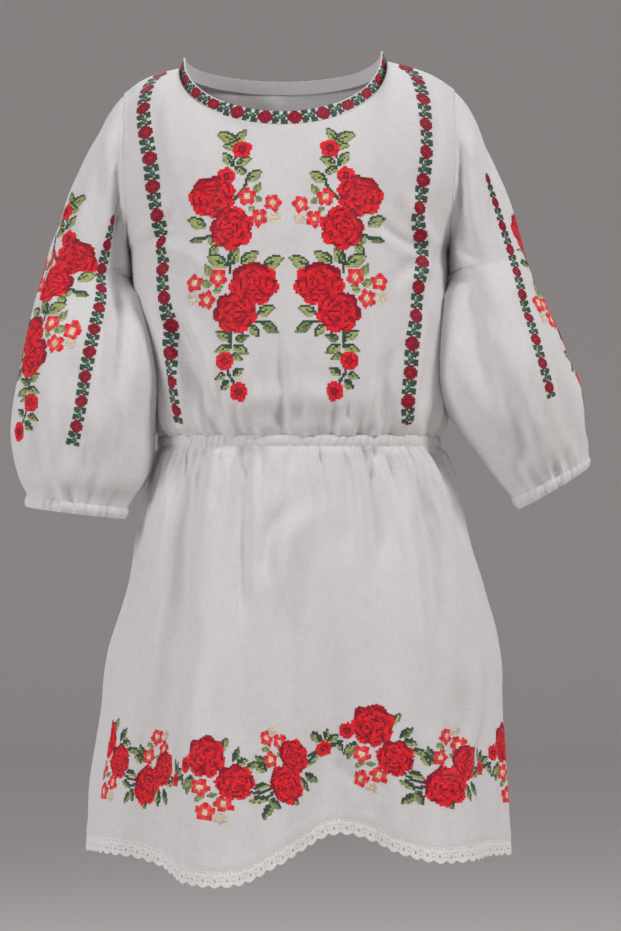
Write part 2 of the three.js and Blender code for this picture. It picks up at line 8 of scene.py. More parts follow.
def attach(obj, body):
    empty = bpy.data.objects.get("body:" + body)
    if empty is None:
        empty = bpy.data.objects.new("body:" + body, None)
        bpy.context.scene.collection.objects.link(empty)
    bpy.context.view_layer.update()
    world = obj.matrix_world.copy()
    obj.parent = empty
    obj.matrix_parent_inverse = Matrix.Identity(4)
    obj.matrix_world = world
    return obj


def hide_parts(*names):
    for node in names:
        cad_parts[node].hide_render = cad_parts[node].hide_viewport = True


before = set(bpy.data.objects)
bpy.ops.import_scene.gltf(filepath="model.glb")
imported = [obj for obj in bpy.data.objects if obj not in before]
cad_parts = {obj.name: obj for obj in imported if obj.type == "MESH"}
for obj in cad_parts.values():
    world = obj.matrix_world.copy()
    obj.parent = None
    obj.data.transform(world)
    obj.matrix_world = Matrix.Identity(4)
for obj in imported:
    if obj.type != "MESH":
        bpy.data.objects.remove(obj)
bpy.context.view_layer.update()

toMetres = 0.001  # everything below is worked out in millimetres


def table(columns, *rows):  # named columns, a row for each section, fold or crease
    return {name: np.array([row[i] for row in rows], float) for i, name in enumerate(columns.split())}


def hermite(start, leave, end, arrive, t):
    return (start * (2 * t ** 3 - 3 * t ** 2 + 1) + leave * (t ** 3 - 2 * t ** 2 + t)
            + end * (3 * t ** 2 - 2 * t ** 3) + arrive * (t ** 3 - t ** 2))


def readTable(rows, key, column, value):  # a smooth curve through the rows of a table
    keys, column = rows[key], rows[column]
    if keys[0] > keys[-1]:
        keys, column = keys[::-1], column[::-1]
    value = np.clip(np.asarray(value, float), keys[0], keys[-1])
    a = np.clip(np.searchsorted(keys, value, side="right") - 1, 0, len(keys) - 2)
    b = a + 1
    before, after = np.maximum(a - 1, 0), np.minimum(b + 1, len(keys) - 1)
    span = keys[b] - keys[a]
    leave = (column[b] - column[before]) / (keys[b] - keys[before]) * span
    arrive = (column[after] - column[a]) / (keys[after] - keys[a]) * span
    return hermite(column[a], leave, column[b], arrive, (value - keys[a]) / span)


def mix(a, b, t):
    return a + (b - a) * t


def smooth(value, low, high):
    t = np.clip((value - low) / (high - low), 0, 1)
    return t * t * (3 - 2 * t)


def signedPower(value, power):
    return np.sign(value) * np.abs(value) ** power


def gatherWave(count, angle):  # an uneven wave with a whole number of crests round the body
    a = np.radians(angle)
    drift = 0.5 * np.sin(3 * a + 0.7) + 0.35 * np.sin(7 * a + 2.1)
    return (0.78 + 0.22 * np.sin(5 * a + 1.3)) * np.sin(count * a + drift)


def gathers(rows, away, angle):  # waves that die away from a gathered seam
    return sum(height * np.exp(-(away / reach) ** 2) * gatherWave(count, angle + shift)
               for height, reach, count, shift in zip(*rows.values()))


def unit(vectors):
    return vectors / np.maximum(np.linalg.norm(vectors, axis=-1, keepdims=True), 1e-9)


# The form of the solids. Angles run round the body: 0 at the wearer's left, 180 at the right, 270 in front.
form = dict(
    waistTop=-276.5, waistBottom=-283.5, underarm=-140.0, squareness=0.88,
    seamY=6.0, armholeDepth=42.0, shoulderArch=4.5, neckAngle=51.0, chestSlope=6.0, neckRound=0.95,
    tips=np.array([[-121.0, -27.0], [120.0, -24.0]]),  # shoulder tips, right then left, x and z
    necks=np.array([[-81.0, -8.0], [71.0, -3.0]]),
    neckMiddle={-1: (-62.0, -56.0), 1: (53.0, -20.0)},  # y and z at the middle, front then back
)

bodiceSections = table(
    "z centreX halfWidth front back",
    (-276.5, 6.5, 102, 76.5, 68.5), (-269, 6, 107, 81.5, 72.5), (-258, 5.5, 110, 85, 75.5),
    (-240, 4.5, 111.5, 86.5, 77.5), (-205, 3, 113, 86, 78), (-170, 1, 115, 84, 77),
    (-140, -0.5, 116, 81, 76))

skirtSections = table(
    "z centreX halfWidth front back",
    (-283.5, 6.5, 102, 76.5, 68.5), (-308, 7.5, 112, 86, 78), (-352, 9, 122, 98, 90),
    (-396, 10.5, 133, 107, 99), (-440, 10, 141, 114, 105), (-483, 8.5, 143, 119, 109),
    (-527, 7.5, 148, 124, 113), (-560, 8, 150, 127, 116), (-590, 8, 151, 129, 118))

gatherColumns = "height reach count shift"
bodiceGathers = table(gatherColumns, (1.8, 26, 28, 0), (0.9, 13, 71, 1.5))
skirtGathers = table(gatherColumns, (1.8, 22, 44, 0), (1.8, 80, 18, 0), (1.0, 14, 83, 0))
sleeveGathers = table(gatherColumns, (1.5, 22, 16, 0), (0.6, 9, 44, 0))

hemHeights = table(
    "angle z",
    (0, -568), (30, -571), (60, -568), (90, -571), (120, -568), (150, -570), (180, -566), (200, -560.5),
    (217, -560), (229, -565.5), (240, -570.5), (250, -573.5), (258, -572), (266, -560), (275, -543.5),
    (284, -542.5), (295, -554), (304, -560), (320, -560.5), (342, -564.5), (360, -568))

skirtFolds = table(
    "angle width height",
    (22, 11, -6), (43, 12, 9), (67, 11, -8), (91, 12, 9), (116, 11, -8), (140, 12, 9), (162, 10, -6),
    (181, 10, 5), (204, 12, 4), (228, 10, -10), (248, 12, 15), (279, 15, -19), (311, 13, 10), (334, 9, -6),
    (353, 10, 5))


def aroundTheBody(rows):  # repeats a table by angle so that it reads smoothly across 0 and 360
    keep = rows["angle"] < 359.9
    angle = rows["angle"][keep]
    parts = ((angle >= 180, -360), (angle >= 0, 0), (angle <= 180, 360))
    return {name: np.concatenate([
        column[keep][chosen] + (turn if name == "angle" else 0) for chosen, turn in parts])
        for name, column in rows.items()}


hemAround = aroundTheBody(hemHeights)


def sectionPoint(sections, angle, z, rise):
    centreX, halfWidth, front, back = (
        readTable(sections, "z", column, z) for column in ("centreX", "halfWidth", "front", "back"))
    cosine, sine = np.cos(np.radians(angle)), np.sin(np.radians(angle))
    depth = np.where(sine < 0, front, back)
    out = unit(np.stack([cosine / halfWidth, sine / depth], -1))
    x = centreX + halfWidth * signedPower(cosine, form["squareness"]) + rise * out[..., 0]
    y = depth * signedPower(sine, form["squareness"]) + rise * out[..., 1]
    return np.stack(np.broadcast_arrays(x, y, z), -1)


def lowerBodice(angle, z):
    return sectionPoint(bodiceSections, angle, z, gathers(bodiceGathers, z - form["waistTop"], angle))


def armholeEdge(side, face, share):  # share is 0 at the underarm and 1 at the shoulder tip
    tip = form["tips"][0 if side < 0 else 1]
    underarmX = bodiceSections["centreX"][-1] + side * bodiceSections["halfWidth"][-1]
    rise = (1 - np.cos(np.pi * share)) / 2
    return np.stack(np.broadcast_arrays(
        mix(underarmX, tip[0], rise),
        form["seamY"] * rise + face * form["armholeDepth"] * np.sin(np.pi * share),
        mix(form["underarm"], tip[1], rise)), -1)


def neckline(turn, face):  # turn is 0 at the wearer's right neck point and 1 at the left
    right, left = form["necks"]
    middleY, middleZ = form["neckMiddle"][face]
    bend = np.sin(np.pi * np.clip(turn, 0, 1)) ** form["neckRound"]
    return np.stack(np.broadcast_arrays(
        mix(right[0], left[0], (1 - np.cos(np.pi * turn)) / 2),
        mix(form["seamY"], middleY, bend),
        mix(mix(right[1], left[1], turn), middleZ, bend)), -1)


def topEdge(angle, face):  # the shoulder seams and the neckline
    around = np.mod(angle - (180 if face < 0 else 0), 360)
    fromSide = np.minimum(around, 180 - around)
    side = np.where(np.cos(np.radians(angle)) < 0, 0, 1)
    tip, neck = form["tips"][side], form["necks"][side]
    t = np.clip((1 - np.cos(np.radians(fromSide))) / (1 - math.cos(math.radians(form["neckAngle"]))), 0, 1)
    arch = form["shoulderArch"] * np.sin(np.pi * t ** 0.7)
    seam = np.stack([mix(tip[..., 0], neck[..., 0], t), np.full_like(t, form["seamY"]),
                     mix(tip[..., 1], neck[..., 1], t) + arch], -1)
    along = (around - form["neckAngle"]) / (180 - 2 * form["neckAngle"])
    turn = along if face < 0 else 1 - along
    return np.where((fromSide <= form["neckAngle"])[..., None], seam, neckline(np.clip(turn, 0, 1), face))


def upperBodice(angle, face, share):  # share is 0 at the chest and 1 at the top edge
    angle, share = np.broadcast_arrays(np.asarray(angle, float), np.asarray(share, float))
    acrossChest = signedPower(np.cos(np.radians(angle)), form["squareness"])
    chestDepth = bodiceSections["front" if face < 0 else "back"][-1]
    neckDepth = abs(form["neckMiddle"][face][0])
    top = topEdge(angle, face)
    rightTip, leftTip = form["tips"][:, 0]
    acrossTop = (2 * top[..., 0] - rightTip - leftTip) / (leftTip - rightTip)

    def flat(s):
        right, left = armholeEdge(-1, face, s), armholeEdge(1, face, s)
        rise = (1 - np.cos(np.pi * s)) / 2
        slope = form["chestSlope"]
        middle = chestDepth - slope * rise - (chestDepth - neckDepth - slope) * rise ** 2
        across = mix(acrossChest, acrossTop, smooth(s, 0, 0.7))
        cosine = np.minimum(np.abs(across) ** (1 / mix(form["squareness"], 1, smooth(s, 0, 0.6))), 1)
        forward = np.maximum(1 - cosine ** 2, 0) ** (mix(form["squareness"], 1.7, smooth(s, 0.2, 0.75)) / 2)
        atEdge = (1 - forward) ** mix(5, 1, smooth(s, -0.2, 0.5))
        x = (right[..., 0] + left[..., 0]) / 2 + (left[..., 0] - right[..., 0]) / 2 * across
        y = face * middle * forward + right[..., 1] * atEdge
        return np.stack([x, y, mix(form["underarm"], top[..., 2], rise)], -1)

    point = flat(share)
    point[..., 1] += (top[..., 1] - flat(np.ones_like(share))[..., 1]) * share ** 6
    return point


def foldHeight(angle):
    away = np.mod(np.asarray(angle)[..., None] - skirtFolds["angle"] + 180, 360) - 180
    return (skirtFolds["height"] * np.exp(-(away / skirtFolds["width"]) ** 2)).sum(-1)


def hemZ(angle):
    return readTable(hemAround, "angle", "z", np.mod(angle, 360))


def skirtPoint(angle, share):  # share is 0 at the waist and 1 at the hem
    angle, share = np.broadcast_arrays(np.asarray(angle, float), np.asarray(share, float))
    z = mix(form["waistBottom"], hemZ(angle), share)
    rise = gathers(skirtGathers, form["waistBottom"] - z, angle) + foldHeight(angle) * share ** 1.3
    return sectionPoint(skirtSections, angle, z, rise)


# A sleeve's rows run down its middle line, from below the armhole to the end of the cuff.
sleeveColumns = "centreX centreY centreZ halfWidth halfDepth tilt"
sleeveSections = {
    "right": table(
        sleeveColumns,
        (-147, -3, -157, 31, 37, 10), (-146, -15, -181, 37, 39, 6), (-145.5, -28, -209, 43, 41, 4),
        (-146.5, -36, -250, 49.5, 43, 3), (-147.5, -38, -279, 51, 43, 4), (-147.5, -37, -297, 48.5, 41, 5),
        (-148.5, -38, -309, 43.5, 37, 6), (-150, -38.5, -318, 38, 31, 6), (-151, -39, -323.5, 35.5, 29, 7),
        (-152.5, -39.5, -331.5, 34.5, 28, 7)),
    "left": table(
        sleeveColumns,
        (144.5, -5, -153, 27.5, 38, 13), (148, -15, -185, 36.5, 41, 14), (155, -24, -225, 44.5, 44, 15),
        (165, -24, -256, 45.5, 44, 17), (177, -18, -283, 38, 42, 21), (183.5, -14, -295.5, 34.5, 38, 24),
        (187, -12.5, -303, 31.5, 35, 26), (188.5, -12, -306.5, 30.5, 34, 28),
        (191, -12, -314, 28.5, 33, 31)),
}
capSlopes = table("angle slope", (0, 38), (90, 34), (180, 76))
sleeveForm = dict(leave=0.45, arrive=0.75, clearance=0.15)

for sections in sleeveSections.values():
    centres = np.stack([sections[c] for c in ("centreX", "centreY", "centreZ")], -1)
    sections["along"] = np.concatenate([[0], np.cumsum(np.linalg.norm(np.diff(centres, axis=0), axis=1))])


def bodySide(side, y, z):  # how far out the bodice or skirt lies at one depth and height
    above = z > form["waistBottom"]
    height, reach = bodiceGathers["height"][0], bodiceGathers["reach"][0]
    crest = np.where(above, height * np.exp(-((z - form["waistTop"]) / reach) ** 2), height)

    def read(column):
        bodice, skirt = (readTable(rows, "z", column, z) for rows in (bodiceSections, skirtSections))
        return np.where(above, bodice, skirt)

    depth = np.where(y < 0, read("front"), read("back"))
    sine = np.minimum(np.abs(y) / depth, 1) ** (1 / form["squareness"])
    reach = np.sqrt(1 - sine ** 2) ** form["squareness"]
    return read("centreX") + side * (reach * read("halfWidth") + crest)


def sleeveSection(name, along, turn, rise):  # turn is 0 at the outer side, 90 in front and 180 by the body
    side = -1 if name == "right" else 1
    rows = sleeveSections[name]
    x, y, z, halfWidth, halfDepth, tilt = (readTable(rows, "along", c, along) for c in sleeveColumns.split())
    tilt, angle = np.radians(tilt), np.radians(turn)
    out, front = (halfWidth + rise) * np.cos(angle), (halfDepth + rise) * np.sin(angle)
    x, y, z = x + side * np.cos(tilt) * out, y - front, z + np.sin(tilt) * out
    limit = bodySide(side, y, z) + side * sleeveForm["clearance"]
    x = np.where(side * (x - limit) < 0, limit, x)
    return np.stack(np.broadcast_arrays(x, y, z), -1)


def sleeveCap(name, share, turn):
    side = -1 if name == "right" else 1
    around = np.mod(turn, 360)
    edge = [armholeEdge(side, face, np.abs(1 - around / 180)) for face in (-1, 1)]
    start = np.where((around <= 180)[..., None], edge[0], edge[1])
    end = sleeveSection(name, 0, turn, 0)
    slope = np.radians(readTable(capSlopes, "angle", "slope", 180 - np.abs(180 - around)))
    tilt = math.radians(sleeveSections[name]["tilt"][0])
    span = np.linalg.norm(end - start, axis=-1)
    outAndDown = np.stack([side * np.cos(slope), 0 * slope, -np.sin(slope)], -1)
    leave = outAndDown * (span * sleeveForm["leave"])[..., None]
    arrive = np.array([side * math.sin(tilt), 0, -math.cos(tilt)]) * (span * sleeveForm["arrive"])[..., None]
    return hermite(start, leave, end, arrive, share[..., None])


# A sheet is a grid of outer points: rows from top to bottom, columns from left to right, seen from outside.
def sheetNormals(grid, closed):
    if closed:
        across = np.roll(grid, -1, 1) - np.roll(grid, 1, 1)
    else:
        across = np.gradient(grid, axis=1)
    down = np.gradient(grid, axis=0)
    return unit(np.cross(down, across))


def makeSheet(grid, closed):
    return {"grid": grid, "normals": sheetNormals(grid, closed), "closed": closed}


# beside each ridge lies a shallower trough, this share as deep, so many widths away and wide
creaseForm = dict(strength=1.45, trough=0.45, troughAway=1.9, troughWidth=1.1)
creaseColumns = "x0 z0 x1 z1 bow width lift"


def creaseHeight(grid, normals, creases, face):  # soft ridges and troughs, by their ends, on one face
    height = np.zeros(grid.shape[:2])
    x, z = grid[..., 0], grid[..., 2]
    facing = smooth(-normals[..., 1] if face == "front" else normals[..., 1], -0.15, 0.35)
    for x0, z0, x1, z1, bow, width, lift in zip(*creases.values()):
        along = np.array([x1 - x0, z1 - z0])
        length = np.linalg.norm(along)
        along = along / length
        t = ((x - x0) * along[0] + (z - z0) * along[1]) / length
        off = (x - x0) * -along[1] + (z - z0) * along[0] - bow * np.sin(np.pi * np.clip(t, 0, 1))
        ends = smooth(t, -0.12, 0.3) * (1 - smooth(t, 0.7, 1.12))
        troughOff = (off - creaseForm["troughAway"] * width) / (creaseForm["troughWidth"] * width)
        profile = np.exp(-(off / width) ** 2) - creaseForm["trough"] * np.exp(-troughOff ** 2)
        height += creaseForm["strength"] * lift * profile * ends * facing
    return height


def crumple(grid, size, amount, seed, tall=1.7):  # slight unevenness, the same in every run
    flat = grid.reshape(-1, 3)
    values = [noise.noise(Vector((p[0] / size + seed, p[1] / size, p[2] / (tall * size)))) for p in flat]
    return amount * np.array(values).reshape(grid.shape[:2])


def hanging(grid, size, amount, seed, tall):  # soft upright folds, narrow and long, sharper on their crests
    wave = crumple(grid, size, 1.0, seed, tall) + 0.5 * crumple(grid, size / 2.1, 1.0, seed + 9, tall)
    return amount * (wave - 0.6 * np.abs(wave) + 0.12)


def relax(grid, passes, rows, fade=14, pull=0.9):  # evens out the ridges of a form's upper rows, edges held
    weight = smooth(np.arange(len(grid) - 2), rows, rows - fade)[:, None, None] * pull
    weight[0] = 0
    for _ in range(passes):
        inner = (grid[:-2, 1:-1] + grid[2:, 1:-1] + grid[1:-1, :-2] + grid[1:-1, 2:]) / 4
        grid[1:-1, 1:-1] = mix(grid[1:-1, 1:-1], inner, weight)
    return grid


def shapeSheet(grid, closed, creases, backCreases, cloth, drape, hold):
    size, amount = cloth["uneven"]
    seed = cloth["seed"]
    normals = sheetNormals(grid, closed)
    lift = creaseHeight(grid, normals, creases, "front") + creaseHeight(grid, normals, backCreases, "back")
    lift = lift + crumple(grid, size, amount, seed) + crumple(grid, size / 3.1, amount / 4, seed + 5) + drape
    return makeSheet(grid + normals * (lift * hold)[..., None], closed)


def edgeHold(grid, top, bottom=None):  # keeps a sheet's own edges where its seams are
    down = np.linspace(0, 1, grid.shape[0])[:, None]
    hold = np.ones(grid.shape[:2]) * smooth(down, 0, top)
    return hold * smooth(1 - down, 0, bottom) if bottom else hold


def clothMesh(name, sheet, thickness, material):
    grid, closed = sheet["grid"], sheet["closed"]
    rows, columns = grid.shape[:2]
    wide = columns if closed else columns - 1
    r, c = np.meshgrid(np.arange(rows - 1), np.arange(wide), indexing="ij")
    right = (c + 1) % columns
    a, b, d, e = r * columns + c, r * columns + right, (r + 1) * columns + right, (r + 1) * columns + c
    outer = np.stack([a, e, d, b], -1).reshape(-1, 4)
    count = rows * columns
    inner = outer[:, ::-1] + count
    rims = []

    def rim(ring, reverse):
        first, second = ring[:-1], ring[1:]
        quads = np.stack([first, second, second + count, first + count], -1)
        rims.append(quads[:, ::-1] if reverse else quads)

    index = np.arange(count).reshape(rows, columns)
    loop = (lambda line: np.append(line, line[0])) if closed else (lambda line: line)
    rim(loop(index[0]), False)
    rim(loop(index[-1]), True)
    if not closed:
        rim(index[:, 0], True)
        rim(index[:, -1], False)
    faces = np.concatenate([outer, inner] + rims)
    under = grid - sheet["normals"] * thickness
    points = np.concatenate([grid.reshape(-1, 3), under.reshape(-1, 3)]) * toMetres
    piece = meshPiece(name, points, faces, [material])
    # cut coordinates in metres, which the weave follows
    width = np.linalg.norm(np.diff(grid, axis=1), axis=-1).sum(1).max()
    downs = np.linalg.norm(np.diff(grid, axis=0), axis=-1)
    length = downs.sum(0).mean()
    downs = downs.mean(1)
    downs = np.concatenate([[0], np.cumsum(downs)]) / max(downs.sum(), 1e-9) * length
    across = np.tile(np.arange(columns) / wide * width, rows)
    cut = np.stack([across, -np.repeat(downs, columns)], -1) * toMetres
    corners = np.concatenate([cut, cut])[faces]
    if closed:  # the last column of faces runs on to the full width
        column = faces % count % columns
        corners[(column == 0) & (column == columns - 1).any(1)[:, None], 0] = width * toMetres
    setCut(piece, corners)
    return piece


def setCut(piece, corners):
    layer = piece.data.uv_layers.new(name="cut")
    layer.data.foreach_set("uv", corners.reshape(-1).astype(np.float32))


def meshPiece(name, points, faces, materials, materialIndex=None):
    mesh = bpy.data.meshes.new(name)
    faces = np.asarray(faces)
    mesh.vertices.add(len(points))
    mesh.vertices.foreach_set("co", np.asarray(points, np.float32).reshape(-1))
    sides = faces.shape[1]
    mesh.loops.add(faces.size)
    mesh.loops.foreach_set("vertex_index", faces.reshape(-1).astype(np.int32))
    mesh.polygons.add(len(faces))
    mesh.polygons.foreach_set("loop_start", np.arange(0, faces.size, sides, dtype=np.int32))
    mesh.polygons.foreach_set("loop_total", np.full(len(faces), sides, np.int32))
    for material in materials:
        mesh.materials.append(material)
    if materialIndex is not None:
        mesh.polygons.foreach_set("material_index", np.asarray(materialIndex, np.int32))
    mesh.polygons.foreach_set("use_smooth", np.ones(len(faces), bool))
    mesh.update(calc_edges=True)
    mesh.validate()
    mesh.set_sharp_from_angle(angle=math.radians(55))
    piece = bpy.data.objects.new(name, mesh)
    bpy.context.scene.collection.objects.link(piece)
    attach(piece, "root")
    return piece


def nodeGroup(name, inputs, outputs):
    group = bpy.data.node_groups.new(name, "ShaderNodeTree")
    for label, kind, value in inputs:
        socket = group.interface.new_socket(name=label, in_out="INPUT", socket_type=kind)
        socket.default_value = value
    for label, kind in outputs:
        group.interface.new_socket(name=label, in_out="OUTPUT", socket_type=kind)
    return group, group.nodes.new("NodeGroupInput"), group.nodes.new("NodeGroupOutput")


def addNode(tree, kind, settings=None, **values):  # inputs by name, or by number as i0, i1 and so on
    node = tree.nodes.new(kind)
    for key, value in (settings or {}).items():
        setattr(node, key, value)
    for key, value in values.items():
        socket = node.inputs[int(key[1:]) if key[0] == "i" and key[1:].isdigit() else key.replace("_", " ")]
        if isinstance(value, bpy.types.NodeSocket):
            tree.links.new(value, socket)
        else:
            socket.default_value = value
    return node


def mathNode(tree, operation, a, b=0.0):
    return addNode(tree, "ShaderNodeMath", {"operation": operation}, i0=a, i1=b).outputs[0]


weaveForm = dict(
    slubStretch=((80, 1700, 1), (1700, 95, 1)), crossingHeight=0.3, slubShade=0.45, crossingShade=0.04)


def makeWeave():  # plain weave with slubs, over cut coordinates in metres
    group, source, result = nodeGroup(
        "weave",
        [("Cut", "NodeSocketVector", (0, 0, 0)), ("Threads", "NodeSocketFloat", 1500.0),
         ("Slubs", "NodeSocketFloat", 0.5)],
        [("Height", "NodeSocketFloat"), ("Shade", "NodeSocketFloat")])

    def calc(operation, a, b=0.0):
        return mathNode(group, operation, a, b)

    cut = source.outputs["Cut"]
    split = addNode(group, "ShaderNodeSeparateXYZ", i0=cut)
    halfTurns = calc("MULTIPLY", source.outputs["Threads"], math.pi)
    waves = [calc("SINE", calc("MULTIPLY", split.outputs[axis], halfTurns)) for axis in (0, 1)]
    crossing = calc("MULTIPLY", *waves)
    slubs = []
    for stretch in weaveForm["slubStretch"]:
        scaled = addNode(group, "ShaderNodeVectorMath", {"operation": "MULTIPLY"}, i0=cut, i1=stretch)
        streaks = addNode(group, "ShaderNodeTexNoise", Vector=scaled.outputs[0], Scale=1.0, Detail=3.0)
        slubs.append(calc("SUBTRACT", streaks.outputs["Fac"], 0.5))
    uneven = calc("MULTIPLY", calc("ADD", *slubs), source.outputs["Slubs"])
    height = calc("ADD", calc("MULTIPLY", crossing, weaveForm["crossingHeight"]), uneven)
    # the shade follows the relief: lighter where threads cross over and darker between them, which is
    # painted shade; the slub streaks are partly the yarn's own uneven tone and partly painted shade
    shade = calc("ADD", calc("MULTIPLY", uneven, weaveForm["slubShade"]),
                 calc("MULTIPLY", crossing, weaveForm["crossingShade"]))
    group.links.new(height, result.inputs["Height"])
    group.links.new(calc("ADD", shade, 0.5), result.inputs["Shade"])
    return group


weave = makeWeave()


finishes = dict(  # colours of the cloth's high and low places (the low places darker as painted shade of the weave), threads a metre, relief in metres
    cloth=dict(light=(0.745, 0.721, 0.722), dark=(0.635, 0.612, 0.613), threads=1450.0, slubs=0.8,
               bump=0.00025, sheen=0.1),
    lace=dict(light=(0.84, 0.815, 0.8), dark=(0.7, 0.675, 0.66), threads=2600.0, slubs=0.6,
              bump=0.0001, sheen=0.2))


def newMaterial(name, roughness, sheen):
    material = bpy.data.materials.new(name)
    material.use_nodes = True
    surface = material.node_tree.nodes["Principled BSDF"]
    surface.inputs["Roughness"].default_value = roughness
    surface.inputs["Sheen Weight"].default_value = sheen
    return material, material.node_tree, surface


def clothMaterial(name, light, dark, threads, slubs, bump, sheen):
    material, tree, surface = newMaterial(name, 0.88, sheen)
    cut = addNode(tree, "ShaderNodeUVMap", {"uv_map": "cut"})
    pattern = addNode(
        tree, "ShaderNodeGroup", {"node_tree": weave}, Cut=cut.outputs[0], Threads=threads, Slubs=slubs)
    ramp = addNode(tree, "ShaderNodeValToRGB", i0=pattern.outputs["Shade"])
    for element, position, colour in zip(ramp.color_ramp.elements, (0.38, 0.6), (dark, light)):
        element.position = position
        element.color = (*colour, 1)
    relief = addNode(tree, "ShaderNodeBump", Height=pattern.outputs["Height"], Distance=bump, Strength=0.6)
    tree.links.new(ramp.outputs[0], surface.inputs["Base Color"])
    tree.links.new(relief.outputs[0], surface.inputs["Normal"])
    surface.inputs["Specular IOR Level"].default_value = 0.25
    surface.inputs["Sheen Roughness"].default_value = 0.5
    return material


clothFinish = clothMaterial("washedLinen", **finishes["cloth"])
laceFinish = clothMaterial("cottonLace", **finishes["lace"])

threadColours = dict(
    scarlet=(0.80, 0.014, 0.026), red=(0.53, 0.008, 0.022), crimson=(0.26, 0.006, 0.022),
    coral=(0.78, 0.075, 0.072), cream=(0.86, 0.58, 0.42), sand=(0.70, 0.58, 0.43),
    forest=(0.042, 0.082, 0.052), teal=(0.10, 0.26, 0.19), olive=(0.37, 0.415, 0.155),
    moss=(0.2, 0.255, 0.1))
threadShades = (0.82, 1.0, 1.2)


def threadMaterial(name, colour, shade):
    material, tree, surface = newMaterial(name, 0.55, 0.12)
    surface.inputs["Base Color"].default_value = (*[min(c * shade, 1) for c in colour], 1)
    fibres = addNode(tree, "ShaderNodeTexNoise", Scale=2400.0, Detail=2.0)
    glossy = mathNode(tree, "MULTIPLY", fibres.outputs["Fac"], 0.45)
    tree.links.new(glossy, surface.inputs["Specular IOR Level"])
    return material


threadMaterials = [threadMaterial(f"{name}Thread{i + 1}", colour, shade)
                   for name, colour in threadColours.items() for i, shade in enumerate(threadShades)]


# each piece's thickness, by the first word of its name
thickness = dict(bodice=0.55, skirt=0.55, sleeve=0.55, cuff=1.0, neck=1.0, waist=1.2)
sheets, shown = {}, {}

# In the dictionaries of cloth, folds are size, height, seed and tallness, uneven is size and height,
# and edges are the shares of a sheet's top and bottom that keep their form.
bodiceForm = dict(
    shoulderColumns=34, neckColumns=92, upperRows=54, lowerRows=52, evened=60, edges=(0.05, 0.03),
    blousing=(15, 2.6, 2.2, 5.0), blousingReach=70, folds=(24, 0.9, 4.4, 4.0), uneven=(36, 1.3), seed=3.1,
    flatUnderArm=0.25, puckerAcross=0.045, puckerHeight=0.35, seamRidge=0.6, ridgeAt=0.03, ridgeWidth=0.02)


def bodiceGrid(face):
    start, neck = (180 if face < 0 else 0), form["neckAngle"]
    shoulder, middle = bodiceForm["shoulderColumns"], bodiceForm["neckColumns"]
    angles = start + np.concatenate([
        np.linspace(0, neck, shoulder, endpoint=False),
        np.linspace(neck, 180 - neck, middle, endpoint=False),
        np.linspace(180 - neck, 180, shoulder + 1)])
    level = np.linspace(1, 0, bodiceForm["upperRows"], endpoint=False)
    share = (level + np.arccos(1 - 2 * level) / np.pi) / 2
    heights = np.linspace(form["underarm"], form["waistTop"], bodiceForm["lowerRows"])
    return np.concatenate([upperBodice(angles[None, :], face, share[:, None]),
                           lowerBodice(angles[None, :], heights[:, None])])


frontCreases = table(
    creaseColumns,
    (104, -146, 60, -122, 4, 4.0, -2.4), (104, -148, 72, -170, -4, 4.5, -2.2),
    (104, -140, 86, -104, 3, 5, 1.8), (106, -136, 94, -182, -4, 4.5, 2.0),
    (-106, -146, -78, -112, -3, 5.0, -2.0), (-106, -150, -64, -166, 4, 5.0, -1.8),
    (-90, -186, -60, -266, 5, 5.5, -4.0), (-100, -178, -76, -262, 4, 6.0, 3.4),
    (-84, -216, -52, -274, 3, 4.0, -2.4), (-52, -228, -47, -274, 1, 3.6, -1.7),
    (-29, -222, -31, -274, -1, 4, 1.5), (-9, -206, -5, -270, 2, 3.4, -1.4),
    (10, -240, 7, -270, 0, 4.2, -0.7), (1, -214, 1, -270, 0, 5.0, 1.2), (24, -240, 22, -274, 1, 4.0, 1.6),
    (46, -226, 42, -274, -1, 3.8, -1.5), (62, -236, 56, -274, -1, 4.0, 1.6),
    (74, -214, 66, -272, -3, 4.5, -2.0), (92, -186, 84, -264, 3, 6.0, 2.2),
    (102, -190, 92, -262, 3, 5.0, -2.0), (-62, -265, 64, -264.5, 1.5, 6.5, -1.0),
    (-26, -250, 40, -252, 3, 7.0, 0.8), (-16, -80, -22, -190, 3, 10.0, 1.2),
    (22, -84, 16, -200, -3, 10.0, -1.2), (4, -76, -2, -150, 3, 7.0, 0.9),
    (-60, -66, -80, -130, 3, 8.0, 1.3), (66, -62, 84, -118, -3, 8.0, 1.3),
    (-98, -40, -88, -110, -2, 6.0, -1.4), (104, -44, 92, -110, 2, 6.0, -1.4))
backCreases = table(
    creaseColumns,
    (98, -150, 60, -124, 3, 5.5, -1.6), (100, -156, 70, -182, -2, 5.5, -1.5),
    (-100, -150, -64, -128, -3, 5.5, -1.6), (-100, -158, -74, -186, 2, 5.5, -1.3),
    (-58, -228, -54, -272, 0, 4.5, -1.8), (-20, -236, -24, -272, 1, 4.5, -1.8),
    (30, -230, 26, -272, -1, 4.5, -1.9), (70, -222, 62, -270, 1, 5.0, -1.6),
    (-84, -206, -70, -264, -3, 6.0, 1.4), (12, -70, 8, -190, 4, 9.0, 0.8),
    (-34, -60, -40, -170, -3, 9.0, -0.8))


